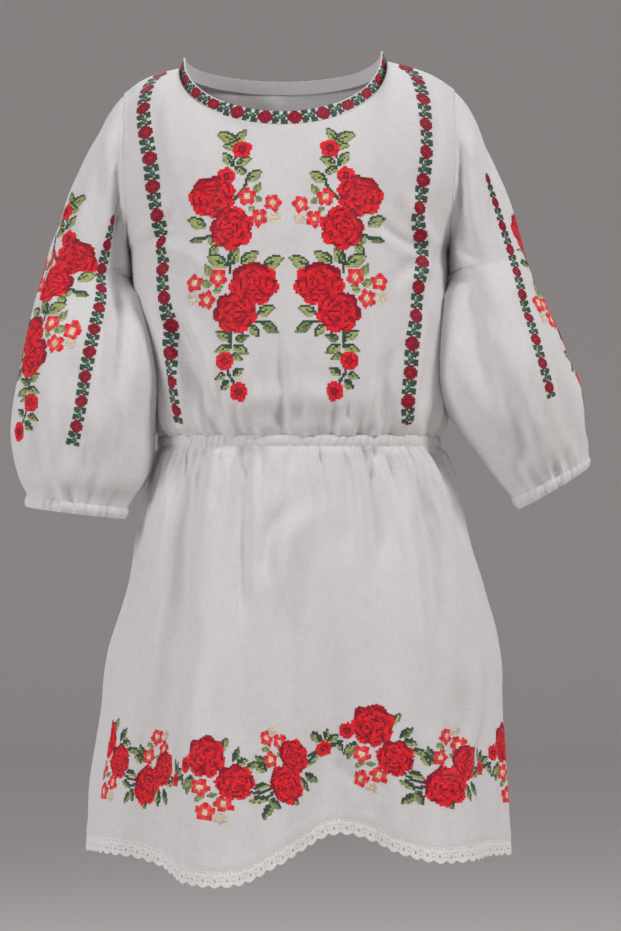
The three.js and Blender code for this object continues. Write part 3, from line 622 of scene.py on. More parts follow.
def bodiceSheet(face):
    upperRows = bodiceForm["upperRows"]
    grid = relax(bodiceGrid(face), bodiceForm["evened"], upperRows)
    across = np.linspace(0, 1, grid.shape[1])[None, :]
    fromSide = np.minimum(across, 1 - across)
    hold = edgeHold(grid, *bodiceForm["edges"])
    hold[:upperRows] *= smooth(across, 0, 0.06) * smooth(1 - across, 0, 0.06)
    besideArms = smooth(across, 0, 0.12) * smooth(1 - across, 0, 0.12)
    hold[upperRows:] *= mix(bodiceForm["flatUnderArm"], 1, besideArms)
    # puckers where the armhole seams were eased
    edge = np.linspace(0, upperRows / 3.1, upperRows)[:, None]
    nearSide = np.exp(-(fromSide / bodiceForm["puckerAcross"]) ** 2) * smooth(fromSide, 0, 0.008)
    ripple = bodiceForm["puckerHeight"] * np.sin(edge * 2.1 + 1.3 * np.sin(edge * 0.9)) * nearSide
    pucker = np.zeros(grid.shape[:2])
    offRidge = (fromSide - bodiceForm["ridgeAt"]) / bodiceForm["ridgeWidth"]
    pucker[:upperRows] = ripple + bodiceForm["seamRidge"] * np.exp(-offRidge ** 2)
    grid = grid + sheetNormals(grid, False) * pucker[..., None]
    fromWaist = (grid[..., 2] - form["waistTop"]) / bodiceForm["blousingReach"]
    blousing = hanging(grid, *bodiceForm["blousing"]) * np.exp(-fromWaist ** 2)
    drape = blousing + hanging(grid, *bodiceForm["folds"])
    return shapeSheet(grid, False, frontCreases, backCreases, bodiceForm, drape, hold)


casingForm = dict(  # each ruffle's height, count and shift
    rows=9, columns=640, seat=0.3, crown=0.9, ruffles=((0.35, 36, 0), (0.55, 118, 2)), slant=1.2,
    top=0.6, bottom=0.9)


def casingSheet():
    levels = np.linspace(0, 1, casingForm["rows"])[:, None]
    angles = np.mod(180 + np.linspace(0, 360, casingForm["columns"], endpoint=False), 360) + 0 * levels
    slant = angles + casingForm["slant"] * levels
    belly = np.sin(np.pi * levels)
    ruffle = sum(height * gatherWave(count, slant + shift) for height, count, shift in casingForm["ruffles"])
    out = casingForm["seat"] + casingForm["crown"] * belly ** 0.8 + ruffle * belly ** 0.5
    grid = sectionPoint(skirtSections, angles, np.full(angles.shape, form["waistBottom"]), out)
    top, bottom = form["waistTop"] + casingForm["top"], form["waistBottom"] - casingForm["bottom"]
    grid[..., 2] = mix(top, bottom, levels)
    return makeSheet(grid, True)


bandForm = dict(height=9.7, lean=0.34, seat=0.25, columns=300, rows=12)


def neckBandSheet():
    half = bandForm["columns"] // 2
    turn = np.linspace(0, 1, half, endpoint=False)
    edge = np.concatenate([neckline(turn, -1), neckline(1 - turn, 1)])
    centreX = form["necks"][:, 0].mean()
    inward = np.stack([centreX - edge[:, 0], form["seamY"] - edge[:, 1]], -1)
    sideways = np.abs(inward[:, :1]) / np.linalg.norm(inward, axis=1, keepdims=True)
    inward = unit(inward)
    seat = unit(np.concatenate([inward * sideways, 1 - sideways], 1)) * bandForm["seat"]
    up = unit(np.concatenate([inward * bandForm["lean"], np.ones_like(sideways)], 1)) * bandForm["height"]
    share = np.linspace(1, 0, bandForm["rows"])[:, None, None]
    return makeSheet(edge + seat + up * share, True)


sleeveCloth = dict(
    columns=128, capRows=34, rows=58, edges=(0.08, 0.04), folds=(17, 2.8, 8.8, 4.5), uneven=(38, 1.4),
    seed=7.7, flatByBody=0.15, pressed=8.0, pressedFrom=(2, 16), pressedTo=(70, 125), closed=2.4,
    closedReach=9, puckers=23, puckerHeight=0.3, fullness=0.35)
sleeveCreases = {
    "right": table(
        creaseColumns,
        (-118, -14, -142, -66, -3, 9.0, -2.4), (-121, -56, -122, -206, 2, 7.5, -5.2),
        (-113, -46, -115, -132, 2, 4.5, 2.2), (-130, -44, -134, -150, 3, 6.0, 1.8),
        (-142, -70, -160, -190, 5, 9.0, -1.6), (-118, -150, -130, -262, 4, 8.0, -3.0),
        (-134, -180, -138, -292, 3, 7.0, 2.0), (-168, -150, -178, -250, 4, 8.0, 1.6),
        (-152, -214, -160, -306, 3, 7.0, -2.0), (-126, -236, -134, -312, 2, 5.0, 1.8),
        (-176, -244, -172, -310, -3, 6.0, -1.8), (-142, -262, -146, -314, 1, 4.0, -1.8),
        (-186, -250, -184, -312, -2, 5.0, 1.5)),
    "left": table(
        creaseColumns,
        (119, -56, 124, -150, -3, 7.0, -4.6), (113, -44, 120, -112, -2, 4.5, 2.2),
        (128, -48, 136, -150, -4, 6.0, 2.0), (121, -112, 132, -158, -7, 5.0, 2.8),
        (117, -120, 126, -164, -7, 4.0, -3.0), (140, -84, 162, -186, -5, 8.0, -1.8),
        (128, -150, 144, -262, -4, 8.0, -2.6), (152, -150, 184, -262, -5, 8.0, 1.8),
        (146, -214, 172, -292, -3, 7.0, -2.2), (190, -226, 204, -288, -2, 6.0, -1.8),
        (164, -232, 184, -298, -2, 5.0, 1.6)),
}


def sleeveSheet(name):
    side = -1 if name == "right" else 1
    turns = -side * np.linspace(0, 360, sleeveCloth["columns"], endpoint=False)[None, :]
    capRows = sleeveCloth["capRows"]
    capShares = np.linspace(0, 1, capRows, endpoint=False)[:, None]
    cap = sleeveCap(name, capShares + 0 * turns, turns + 0 * capShares)
    last = sleeveSections[name]["along"][-2]
    along = np.linspace(0, last, sleeveCloth["rows"])[:, None]
    # the underarm is pressed in, and closed over the armhole, so that it rests against the bodice's side
    inside = smooth(-np.cos(np.radians(turns)), 0.35, 0.85)
    pressed = (sleeveCloth["pressed"] * smooth(along, *sleeveCloth["pressedFrom"])
               * (1 - smooth(along, *sleeveCloth["pressedTo"])))
    closed = sleeveCloth["closed"] * np.exp(-(along / sleeveCloth["closedReach"]) ** 2)
    pressed = inside * (pressed + closed)
    rise = gathers(sleeveGathers, last - along, turns) + pressed
    grid = np.concatenate([cap, sleeveSection(name, along + 0 * turns, turns + 0 * along, rise)])
    nearSeam = np.exp(-((capShares - 0.16) / 0.13) ** 2) * smooth(capShares, 0, 0.05)
    pucker = sleeveCloth["puckerHeight"] * gatherWave(sleeveCloth["puckers"], turns)
    pucker = pucker + sleeveCloth["fullness"]
    closing = inside * (1.6 + 0.8 * capShares) * smooth(capShares, 0, 0.6)
    grid[:capRows] += sheetNormals(grid, True)[:capRows] * (pucker * nearSeam + closing)[..., None]
    byBody = smooth(-np.cos(np.radians(turns)), 0.55, 0.85)
    hold = edgeHold(grid, *sleeveCloth["edges"]) * mix(1, sleeveCloth["flatByBody"], byBody)
    size, height, seed, tall = sleeveCloth["folds"]
    drape = hanging(grid, size, height, seed + side, tall)
    return shapeSheet(grid, True, sleeveCreases[name], sleeveCreases[name], sleeveCloth, drape, hold)


cuffForm = dict(rows=10, columns=220, seat=0.3, crown=1.3, ruffles=(1.2, 0.6))


def cuffSheet(name):
    side = -1 if name == "right" else 1
    turns = -side * np.linspace(0, 360, cuffForm["columns"], endpoint=False)[None, :]
    start, end = sleeveSections[name]["along"][-2:]
    levels = np.linspace(0, 1, cuffForm["rows"])[:, None]
    rise = cuffForm["seat"] + cuffForm["crown"] * np.sin(np.pi * levels)
    for height, count in zip(cuffForm["ruffles"], sleeveGathers["count"]):
        rise = rise + height * gatherWave(count, turns)
    along = mix(start, end, levels) + 0 * turns
    return makeSheet(sleeveSection(name, along, turns + 0 * levels, rise), True)


skirtForm = dict(
    columns=227, rows=86, crowding=1.25, topEdge=0.05, levelled=0.5, levelledReach=4, hemRoll=(0.55, 0.15),
    waistFolds=(10, 2.2, 12.5, 8.0), waistReach=75, folds=(32, 3.4, 15.1, 7.0), uneven=(46, 1.8), seed=11.3,
    fineGathers=0.5, fineReach=38)


skirtCreases = table(
    creaseColumns,
    (-92, -284, -98, -330, -1, 3.0, -1.4), (-55, -284, -57, -318, 0, 2.8, -1.3),
    (-44, -284, -43, -340, 1, 3.0, 1.2), (-20, -284, -21, -325, 0, 2.8, -1.4),
    (10, -284, 12, -330, 0, 3.0, -1.0), (24, -284, 27, -312, 0, 3.0, 0.7),
    (52, -284, 57, -330, 1, 3.2, -0.8), (80, -284, 87, -322, 1, 3.0, -1.5),
    (-74, -282, -73, -420, -2, 6.5, -3.2), (-64, -284, -66, -350, 2, 4.0, -2.3),
    (-84, -290, -92, -470, -3, 9.0, 2.6), (-34, -284, -33, -410, 1, 5.0, -2.9),
    (-48, -290, -56, -560, -5, 11.0, 2.6), (-2, -326, -17, -378, -5, 6.5, -3.0),
    (8, -330, -2, -400, -5, 9.0, 2.2), (38, -290, 44, -360, 2, 5.4, -2.1),
    (14, -400, 24, -560, 3, 13.0, -2.6), (66, -286, 80, -340, 3, 5.0, -2.7),
    (90, -300, 102, -420, 3, 7.0, -2.9), (78, -300, 92, -460, 4, 9.0, 2.4),
    (-82, -430, -88, -530, 2, 9.0, -2.6), (-106, -300, -128, -560, -5, 9.0, -2.2),
    (-66, -440, -62, -586, 2, 10.0, 2.6), (118, -446, 104, -520, 5, 6.0, -3.0),
    (130, -430, 120, -505, 4, 6.0, 2.4), (28, -500, 52, -524, 3, 5.5, -1.0),
    (66, -430, 76, -580, 4, 12.0, 2.2), (108, -520, 116, -584, 2, 6.0, -2.4),
    (-24, -440, -22, -580, 3, 12.0, -2.0))
skirtBackCreases = table(
    creaseColumns,
    (94, -286, 112, -420, 4, 7.0, -2.6), (54, -284, 60, -400, 3, 6.0, 2.0),
    (70, -290, 80, -560, 4, 11.0, -2.2), (14, -290, 18, -440, 2, 7.0, -2.4),
    (30, -300, 36, -540, 3, 11.0, 2.2), (-36, -284, -40, -400, -2, 6.0, 2.2),
    (-14, -320, -18, -570, -3, 12.0, -2.0), (-62, -286, -66, -370, -2, 5.0, -2.2),
    (-88, -290, -104, -440, -4, 8.0, -2.6), (-60, -420, -70, -570, 3, 9.0, 2.2),
    (44, -430, 50, -570, -3, 8.0, -2.2), (104, -440, 116, -560, 3, 7.0, 2.4),
    (-116, -430, -124, -560, -3, 7.0, -2.4))


def skirtSheet(face):
    angles = (180 if face < 0 else 0) + np.linspace(0, 180, skirtForm["columns"])[None, :]
    share = (np.linspace(0, 1, skirtForm["rows"]) ** skirtForm["crowding"])[:, None]
    grid = skirtPoint(angles, share)
    drop = form["waistBottom"] - grid[..., 2]
    waistFolds = hanging(grid, *skirtForm["waistFolds"]) * np.exp(-(drop / skirtForm["waistReach"]) ** 2)
    fine = skirtForm["fineGathers"] * gatherWave(skirtGathers["count"][-1], angles)
    drape = (waistFolds + hanging(grid, *skirtForm["folds"])
             + fine * np.exp(-(drop / skirtForm["fineReach"]) ** 2))
    evened = skirtForm["levelled"] - gathers(skirtGathers, 0, angles)  # the top fits under the casing
    level = evened * np.exp(-(drop / skirtForm["levelledReach"]) ** 2)
    grid = grid + sheetNormals(grid, False) * level[..., None]
    hold = edgeHold(grid, skirtForm["topEdge"])
    sheet = shapeSheet(grid, False, skirtCreases, skirtBackCreases, skirtForm, drape, hold)
    hemRoll = np.zeros(grid.shape[:2])
    hemRoll[-2:] = np.array(skirtForm["hemRoll"])[:, None]
    return makeSheet(sheet["grid"] + sheet["normals"] * hemRoll[..., None], False)


def camelCase(name):
    first, *others = name.split("_")
    return first + "".join(word.capitalize() for word in others)


print("cloth: working out the sheets")
for face, word in ((-1, "front"), (1, "back")):
    sheets[f"bodice_{word}"] = bodiceSheet(face)
    sheets[f"skirt_{word}"] = skirtSheet(face)
for name in ("right", "left"):
    sheets[f"sleeve_{name}"] = sleeveSheet(name)
    sheets[f"cuff_{name}"] = cuffSheet(name)
sheets["waist_casing"] = casingSheet()
sheets["neck_band"] = neckBandSheet()

for name, sheet in sheets.items():
    piece = clothMesh(camelCase(name), sheet, thickness[name.split("_")[0]], clothFinish)
    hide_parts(name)
    shown[name] = piece
print("cloth:", sum(len(p.data.polygons) * 2 for p in shown.values()), "triangles")


# A chart is a grid of cells, each one cross-stitch, that holds a thread's number or 0 for bare cloth.
threadNumber = {name: i + 1 for i, name in enumerate(threadColours)}
letters = dict(C="crimson", R="red", F="forest", T="teal")

bandRepeat = (  # a rosette and a four-leaved turn, 14 rows of 7 stitches
    "..CCC..",
    ".CCCCC.",
    "CCCCCCC",
    "CCCRRCC",
    "CCCCCCC",
    ".CCCCC.",
    "..CCC..",
    "FFF.FFF",
    "FFFF.FF",
    ".FFT.FF",
    "...FT..",
    "FFFTF..",
    "FFFF.FF",
    "FF..FFF",
)


bandChart = np.array([[threadNumber[letters[c]] if c != "." else 0 for c in row] for row in bandRepeat])


def paint(chart, mask, thread):
    chart[mask] = threadNumber[thread]


def around(chart, x, y, width, height):
    rows, columns = np.mgrid[0:chart.shape[0], 0:chart.shape[1]] + 0.5
    dx, dy = (columns - x) / width, (rows - y) / height
    return np.hypot(dx, dy), np.degrees(np.arctan2(dy, dx))


def petals(turn, angle, count):  # 0 at the start of each petal and 1 at its end
    return np.mod((angle + turn) / (360 / count), 1)


def drawRose(chart, x, y, width, height, turn):
    d, angle = around(chart, x, y, width, height)
    for size, count, shift in ((1.0, 7, 0), (0.76, 5, 31), (0.5, 4, 75), (0.26, 3, 10)):
        place = petals(turn + shift, angle, count)
        edge = size * (1 - 0.15 * np.abs(2 * place - 1) ** 2.5)
        if size < 1:
            paint(chart, (d < edge + 0.08) & (np.abs(place - 0.5) < 0.24), "crimson")
        inside = d < edge
        paint(chart, inside, "red")
        paint(chart, inside & (d > edge - 0.24) & (place > 0.22) & (place < 0.86), "scarlet")
        paint(chart, inside & (place < 0.09) & (d > edge - 0.26), "crimson")
    shaded = (np.abs((angle + 100 + turn % 60 + 180) % 360 - 180) < 50) & (d > 0.72)
    paint(chart, (d < 1) & shaded & (chart == threadNumber["scarlet"]), "red")
    paint(chart, (chart > 0) & (d < 0.97) & (d > 0.84) & shaded, "crimson")


def drawBud(chart, x, y, width, height, turn):
    d, angle = around(chart, x, y, width, height)
    place = petals(turn, angle, 5)
    inside = d < 1 - 0.12 * np.abs(2 * place - 1) ** 2
    paint(chart, inside, "scarlet")
    paint(chart, inside & (place < 0.2) & (d > 0.3), "red")
    paint(chart, inside & (d < 0.42), "crimson")
    paint(chart, inside & (d < 0.22), "red")


def drawCoral(chart, x, y, width, height, turn):
    d, angle = around(chart, x, y, width, height)
    place = petals(turn, angle, 5)
    inside = d < 1.02 - 0.3 * np.abs(2 * place - 1) ** 1.6
    paint(chart, inside, "coral")
    paint(chart, inside & (d > 0.62) & (place > 0.3) & (place < 0.75), "scarlet")
    paint(chart, d < 0.34, "cream")


def drawSand(chart, x, y, width, height, turn):
    d, angle = around(chart, x, y, width, height)
    paint(chart, (d < 1) & (petals(turn, angle, 4) > 0.28), "sand")


def alongLine(chart, x0, y0, x1, y1):
    rows, columns = np.mgrid[0:chart.shape[0], 0:chart.shape[1]] + 0.5
    length = max(math.hypot(x1 - x0, y1 - y0), 0.1)
    ux, uy = (x1 - x0) / length, (y1 - y0) / length
    return ((columns - x0) * ux + (rows - y0) * uy) / length, (columns - x0) * -uy + (rows - y0) * ux, length


def drawLeaf(chart, x0, y0, x1, y1, darkSide, lightSide, slim):
    t, off, length = alongLine(chart, x0, y0, x1, y1)
    half = slim * length * np.sin(np.pi * np.clip(t, 0, 1) ** 0.85) + 0.4
    inside = (t > 0) & (t < 1.02) & (np.abs(off) < half)
    upper = off * (1 if x1 >= x0 else -1) < 0
    paint(chart, inside, lightSide)
    paint(chart, inside & upper & (np.abs(off) > half - 1.15), darkSide)
    paint(chart, inside & (np.abs(off) < 0.5) & (t < 0.55), darkSide)
    paint(chart, inside & ~upper & (np.abs(off) > half - 0.7) & (t > 0.5), "moss")


def drawStem(chart, x0, y0, x1, y1):
    t, off, length = alongLine(chart, x0, y0, x1, y1)
    bend = 0.08 * length * np.sin(np.pi * np.clip(t, 0, 1))
    paint(chart, (t > 0) & (t < 1) & (np.abs(off - bend) < 0.62), "forest")


leafThreads = dict(dark=("forest", "moss"), leaf=("forest", "olive"), olive=("moss", "olive"))
flowers = dict(sand=drawSand, coral=drawCoral, bud=drawBud, rose=drawRose)


def drawElements(elements, height, width, middle, top=2.0, bloom=1.0, tall=1.0, slim=0.25):
    chart = np.zeros((height, width), int)
    for kind in ("stem", *leafThreads, *flowers):
        for i, (name, a, b, c, d) in enumerate(elements):
            if name != kind:
                continue
            x, y = a + middle, b * tall + top
            if kind in flowers:
                flowers[kind](chart, x, y, c * bloom, (d or c) * bloom, 47 * i)
            elif kind in leafThreads:
                drawLeaf(chart, x, y, c + middle, d * tall + top, *leafThreads[kind], slim)
            else:
                drawStem(chart, x, y, c + middle, d * tall + top)
    return chart


# A spray's elements in stitches: flowers by their middle and half sizes, leaves and stems by their two ends.
spray = (
    ("stem", 1, 8, 4.5, 12.5), ("stem", 2, 16.5, 0, 22), ("stem", -2, 29, -4, 33.5), ("leaf", 2, 8, -8, 3),
    ("leaf", 2, 8, 6.5, 1), ("leaf", 3, 10.5, -4.5, 10.5), ("bud", 5, 12.5, 4.6, 0),
    ("leaf", 0, 21, -5, 14), ("leaf", 2, 21, 9.5, 18), ("leaf", 1, 23, 7, 26), ("bud", -3.5, 27, 4.4, 0),
    ("stem", -0.5, 40, 8, 28), ("leaf", 6.5, 30, 15, 26), ("rose", -11.5, 37, 11.5, 10.2),
    ("rose", -2.5, 54.5, 10.5, 10.8), ("coral", 6.5, 38.5, 4.4, 0), ("coral", 19.5, 43, 4.2, 0),
    ("coral", 12, 50, 4.2, 0), ("olive", 11, 37, 13.5, 32.5), ("olive", 10.5, 40.5, 14.5, 41),
    ("olive", 6.5, 45, 10.5, 45), ("sand", 20, 50.5, 2.6, 0), ("leaf", -16, 52, -25.5, 47),
    ("stem", -12, 57, -18, 60), ("dark", -17, 59, -24.5, 61), ("leaf", -13.5, 58, -11, 65),
    ("leaf", -9.5, 63, -14, 69), ("stem", -2.5, 66, -2, 77.5), ("leaf", -4, 74, -15, 69),
    ("leaf", -1, 73, 1, 64.5), ("leaf", 3, 73, 11.5, 66.5), ("leaf", 14.5, 74, 24.5, 69),
    ("rose", 10, 83, 12, 10.4), ("rose", 0.5, 97.5, 10.8, 10.2), ("coral", -8.5, 80, 4.4, 0),
    ("coral", -21.5, 82.5, 4.2, 0), ("coral", -14.5, 91, 4.4, 0), ("sand", -22.5, 90, 2.6, 0),
    ("olive", -12.5, 79, -15.5, 73.5), ("olive", -12.5, 84.5, -18, 81.5),
    ("olive", -10.5, 87.5, -6.5, 84.5), ("leaf", 12, 98.5, 20.5, 95), ("stem", 9, 101, 15, 103),
    ("dark", 14.5, 103, 22.5, 107.5), ("leaf", 8.5, 104, 12.5, 110), ("stem", -1.5, 106, -1, 116),
    ("leaf", -2, 111.5, -9.5, 107.5), ("leaf", -2, 115, -9.5, 117.5), ("dark", 1, 111.5, 7.5, 109.5),
    ("leaf", 0, 114.5, 7.5, 118.5), ("bud", -4.5, 122.5, 4.5, 0), ("leaf", -1, 119, 4.5, 122),
    ("stem", -3, 126, 1, 133.5), ("leaf", -4, 129, -9.5, 132), ("leaf", 0, 129.5, 5.5, 126),
    ("leaf", -2, 132.5, -6.5, 137), ("bud", 3.5, 138, 4.6, 0))

border = (  # one repeat, 91 stitches round
    ("leaf", 2, -2, 9, -5), ("leaf", -1, -3, -3, -10), ("leaf", -3, 1, -9, 5), ("leaf", 1, -3, 4, -9),
    ("bud", 0, 1, 4.6, 3.8), ("stem", 3.5, 0, 12, -2), ("leaf", 8, -2, 12, 4), ("bud", 14, -7.5, 4.8, 4),
    ("rose", 24.5, -13, 9, 10.5), ("rose", 38.5, -1.5, 9.5, 9), ("leaf", 31, -17, 33, -25),
    ("dark", 37, -13, 43, -19.5), ("leaf", 40, -12, 47, -12), ("leaf", 45, -8, 51, -9),
    ("leaf", 19, -1, 12.5, 5.5), ("dark", 20, -2, 15, 8), ("coral", 23.5, 3.5, 4.4, 0),
    ("coral", 34, 10.5, 4.2, 0), ("coral", 27, 16, 4.4, 0), ("sand", 33.5, 18, 2.6, 0),
    ("olive", 25.5, 8, 22, 10.5), ("olive", 27, 7.5, 31, 6), ("leaf", 46.5, 3.5, 53, 5),
    ("stem", 44, 5, 56, 7.5), ("leaf", 50.5, 11.5, 43.5, 9), ("leaf", 50.5, 14, 46.5, 20.5),
    ("dark", 51, 12, 53.5, 19), ("stem", 50, 11, 54, 9), ("rose", 62.5, 8.5, 9.8, 10.5),
    ("rose", 74, -3, 9.2, 9.2), ("leaf", 61, 16, 65, 21), ("coral", 62.5, -18.5, 4.4, 0),
    ("coral", 70, -13, 4.4, 0), ("coral", 59.5, -7, 4.4, 0), ("sand", 69.5, -21, 2.6, 0),
    ("olive", 61, -12, 57, -14), ("olive", 65, -8, 69, -6.5), ("leaf", 55, -2, 49, -10),
    ("dark", 57, -3, 52, -12), ("leaf", 79, 3.5, 85, 5), ("dark", 76, 8, 82, 15.5),
    ("leaf", 72, 9, 73.5, 18), ("stem", 82, 0, 88, 0))


# A place on a sheet is a row and a column of its grid, with fractions.
def sampleSheet(sheet, place, values="grid"):
    grid = sheet[values]
    rows, columns = grid.shape[:2]
    r = np.clip(place[..., 0], 0, rows - 1.0001)
    r0 = r.astype(int)
    fr = (r - r0)[..., None]
    if sheet["closed"]:
        c = np.mod(place[..., 1], columns)
        c0 = c.astype(int) % columns
        c1 = (c0 + 1) % columns
        fc = (c - np.floor(c))[..., None]
    else:
        c = np.clip(place[..., 1], 0, columns - 1.0001)
        c0 = c.astype(int)
        c1, fc = c0 + 1, (c - c0)[..., None]
    return mix(mix(grid[r0, c0], grid[r0, c1], fc), mix(grid[r0 + 1, c0], grid[r0 + 1, c1], fc), fr)


def findOnSheet(sheet, face, x, z):  # the place that lies at x and z, seen from the front or from behind
    grid, normals = sheet["grid"], sheet["normals"]
    away = np.hypot(grid[..., 0] - x, grid[..., 2] - z) + np.where(normals[..., 1] * face > 0, 0, 1e3)
    return np.unravel_index(away.argmin(), away.shape)


def spineFromPlaces(sheet, places, step):  # evenly spaced places along a smooth line
    places = np.array(places, float)
    key = np.concatenate([[0], np.cumsum(np.linalg.norm(np.diff(places, axis=0), axis=1))])
    rows = {"key": key, "row": places[:, 0], "column": places[:, 1]}
    dense = np.linspace(0, key[-1], 1600)
    dense = np.stack([readTable(rows, "key", name, dense) for name in ("row", "column")], -1)
    return evenly(sheet, dense, step)


def evenly(sheet, dense, step, count=None, moved=None):
    points = sampleSheet(sheet, dense)
    length = np.concatenate([[0], np.cumsum(np.linalg.norm(np.diff(points, axis=0), axis=1))])
    wanted = np.arange((count or int(length[-1] / step)) + 1) * step
    if moved:
        wanted = wanted + np.interp(wanted, *zip(*moved))
    return np.stack([np.interp(wanted, length, dense[:, axis]) for axis in (0, 1)], -1)


def slopes(sheet, place, values="grid"):
    rows = []
    for axis in (0, 1):
        nudge = np.zeros(2)
        nudge[axis] = 0.5
        rows.append(sampleSheet(sheet, place + nudge, values) - sampleSheet(sheet, place - nudge, values))
    return rows


def march(sheet, place, across, step, count):  # walks over the cloth, square to the spine
    places = [place]
    for _ in range(count):
        down, right = slopes(sheet, place)
        normal = unit(np.cross(down, right))
        across = unit(across - normal * (across * normal).sum(-1, keepdims=True))
        a, b, c = (down * down).sum(-1), (down * right).sum(-1), (right * right).sum(-1)
        u, v = (down * across).sum(-1) * step, (right * across).sum(-1) * step
        area = np.maximum(a * c - b * b, 1e-9)
        place = place + np.stack([(u * c - v * b) / area, (v * a - u * b) / area], -1)
        places.append(place)
    return places[1:]


def layChart(sheet, spine, before, after, step):
    forward = unit(np.gradient(sampleSheet(sheet, spine), axis=0))
    for _ in range(6):
        forward[1:-1] = unit(forward[:-2] + 2 * forward[1:-1] + forward[2:])
    across = unit(np.cross(unit(sampleSheet(sheet, spine, "normals")), forward))
    left = march(sheet, spine, -across, step, before)
    right = march(sheet, spine, across, step, after)
    return np.stack(left[::-1] + [spine] + right, 1)


def liesOn(sheet, places):
    rows, columns = sheet["grid"].shape[:2]
    good = (places[..., 0] > -0.2) & (places[..., 0] < rows - 0.8)
    if not sheet["closed"]:
        good &= (places[..., 1] > 0) & (places[..., 1] < columns - 1)
    return good


stitchForm = dict(
    halfWidth=0.41, low=0.06, ridge=0.30, sag=0.8, top=0.50, shrink=0.04, uneven=0.045, widthUneven=0.12)
seeded = np.random.default_rng(20)
withPieces = {}


def fourCorners(values):  # the cells' corners: two of this row of the chart, then two of the next
    return values[:-1, :-1], values[:-1, 1:], values[1:, :-1], values[1:, 1:]


def stitchesFrom(sheet, places, chart, keep=None):  # corners, normal and thread of every stitch in a chart
    good = np.all(fourCorners(liesOn(sheet, places)), 0) & (chart > 0)
    if keep is not None:
        good &= keep(places)
    corners = np.stack([part[good] for part in fourCorners(sampleSheet(sheet, places))], 1)
    normals = fourCorners(sampleSheet(sheet, places, "normals"))
    return corners, unit(normals[0][good] + normals[3][good]), chart[good]


def stitchPiece(name, batches, sheetName):
    corners, normal, thread = (np.concatenate(part) for part in zip(*batches))
    count = len(thread)
    corners = corners + seeded.normal(0, stitchForm["uneven"], corners.shape)
    low, ridge, top, shrink = (stitchForm[key] for key in ("low", "ridge", "top", "shrink"))
    spread = stitchForm["widthUneven"]
    wide = stitchForm["halfWidth"] / math.sqrt(2) * (1 + seeded.uniform(-spread, spread, (count, 1)))
    points, quads = [], []
    crown = (ridge * stitchForm["sag"], top)
    # two ridged ribbons corner to corner, the second bowed over the first
    for a, b, heights in ((corners[:, 0], corners[:, 3], [(low, ridge), (low, ridge)]),
                          (corners[:, 1], corners[:, 2], [(low, ridge), crown, (low, ridge)])):
        first = len(points)
        side = unit(np.cross(normal, unit(b - a))) * (np.linalg.norm(b - a, axis=1, keepdims=True) * wide)
        a, b = a + (b - a) * shrink, b - (b - a) * shrink
        for t, (edge, crest) in zip(np.linspace(0, 1, len(heights)), heights):
            centre = mix(a, b, t)
            points += [centre - side + normal * edge, centre + normal * crest, centre + side + normal * edge]
        quads += [(p, p + 1, p + 4, p + 3) for span in range(len(heights) - 1)
                  for p in (first + 3 * span, first + 3 * span + 1)]
    faces = (np.arange(count)[:, None, None] * len(points) + np.array(quads)).reshape(-1, 4)
    points = np.stack(points, 1).reshape(-1, 3)
    shade = seeded.choice(len(threadShades), count, p=(0.25, 0.5, 0.25))
    used, index = np.unique((thread - 1) * len(threadShades) + shade, return_inverse=True)
    index = np.repeat(index, len(quads))
    a, b, c = (points[faces[:, n]] for n in (0, 1, 2))
    if (np.cross(b - a, c - a) * np.repeat(normal, len(quads), 0)).sum(-1).mean() < 0:
        faces = faces[:, ::-1]
    piece = meshPiece(name, points * toMetres, faces, [threadMaterials[n] for n in used], index)
    withPieces.setdefault(sheetName, []).append(piece)
    print("stitches:", name, count)


embroidery = dict(
    pitch=1.38, spraySize=(146, 28), sprayBloom=1.08, bandPitch=1.47, bandWidth=(1.6, 1.6),
    sleevePitch=1.28, sleeveSpread=(1.05, 1.08), sleeveBloom=1.1,
    sleeveBandWidth=dict(right=(0.8, 1.15, 1.45, 1.5), left=(0.55, 0.8, 1.05, 1.3, 1.4)),
    neckPitch=1.5, neckHeight=1.37, bandSides=(4, 3))


def bandBatch(sheet, places, step, widths, rowsShift, mirror):  # a band, wider or narrower along its line
    spine = spineFromPlaces(sheet, places, step)
    count = len(spine) - 1
    chart = np.tile(bandChart, (count // len(bandChart) + 2, 1))[rowsShift:rowsShift + count]
    width = np.interp(np.linspace(0, 1, count + 1), np.linspace(0, 1, len(widths)), widths)
    laid = layChart(sheet, offsetSpine(sheet, spine, 0.5, width), *embroidery["bandSides"], width)
    return stitchesFrom(sheet, laid, chart[:, ::-1] if mirror else chart)


def sprayBatch(sheet, places, downStep, acrossStep, bloom, mirror):
    rows, half = embroidery["spraySize"]
    spine = spineFromPlaces(sheet, places, downStep)[:rows + 1]
    chart = drawElements(spray, rows, 2 * half, half, bloom=bloom)[:len(spine) - 1]
    laid = layChart(sheet, spine, half, half, acrossStep)
    return stitchesFrom(sheet, laid, chart[:, ::-1] if mirror else chart)


def offsetSpine(sheet, spine, cells, step):  # centres an odd number of stitches on the line
    points = sampleSheet(sheet, spine)
    forward = unit(np.gradient(points, axis=0))
    across = unit(np.cross(unit(sampleSheet(sheet, spine, "normals")), forward))
    return march(sheet, spine, across, step * cells, 1)[0]


def byXZ(sheet, face, line):
    return [findOnSheet(sheet, face, x, z) for x, z in line]


def byTurn(sheet, side, line):  # places on a sleeve, by its turn from the outer side and its height
    rows, columns = sheet["grid"].shape[:2]
    places = []
    for turn, z in line:
        column = (-side * turn) % 360 / 360 * columns
        heights = sampleSheet(sheet, np.stack([np.arange(rows), np.full(rows, column)], -1))[:, 2]
        places.append((np.interp(-z, -heights, np.arange(rows)), column))
    columnsSoFar = np.unwrap([2 * math.pi * c / columns for _, c in places]) * columns / (2 * math.pi)
    return [(r, c) for (r, _), c in zip(places, columnsSoFar)]


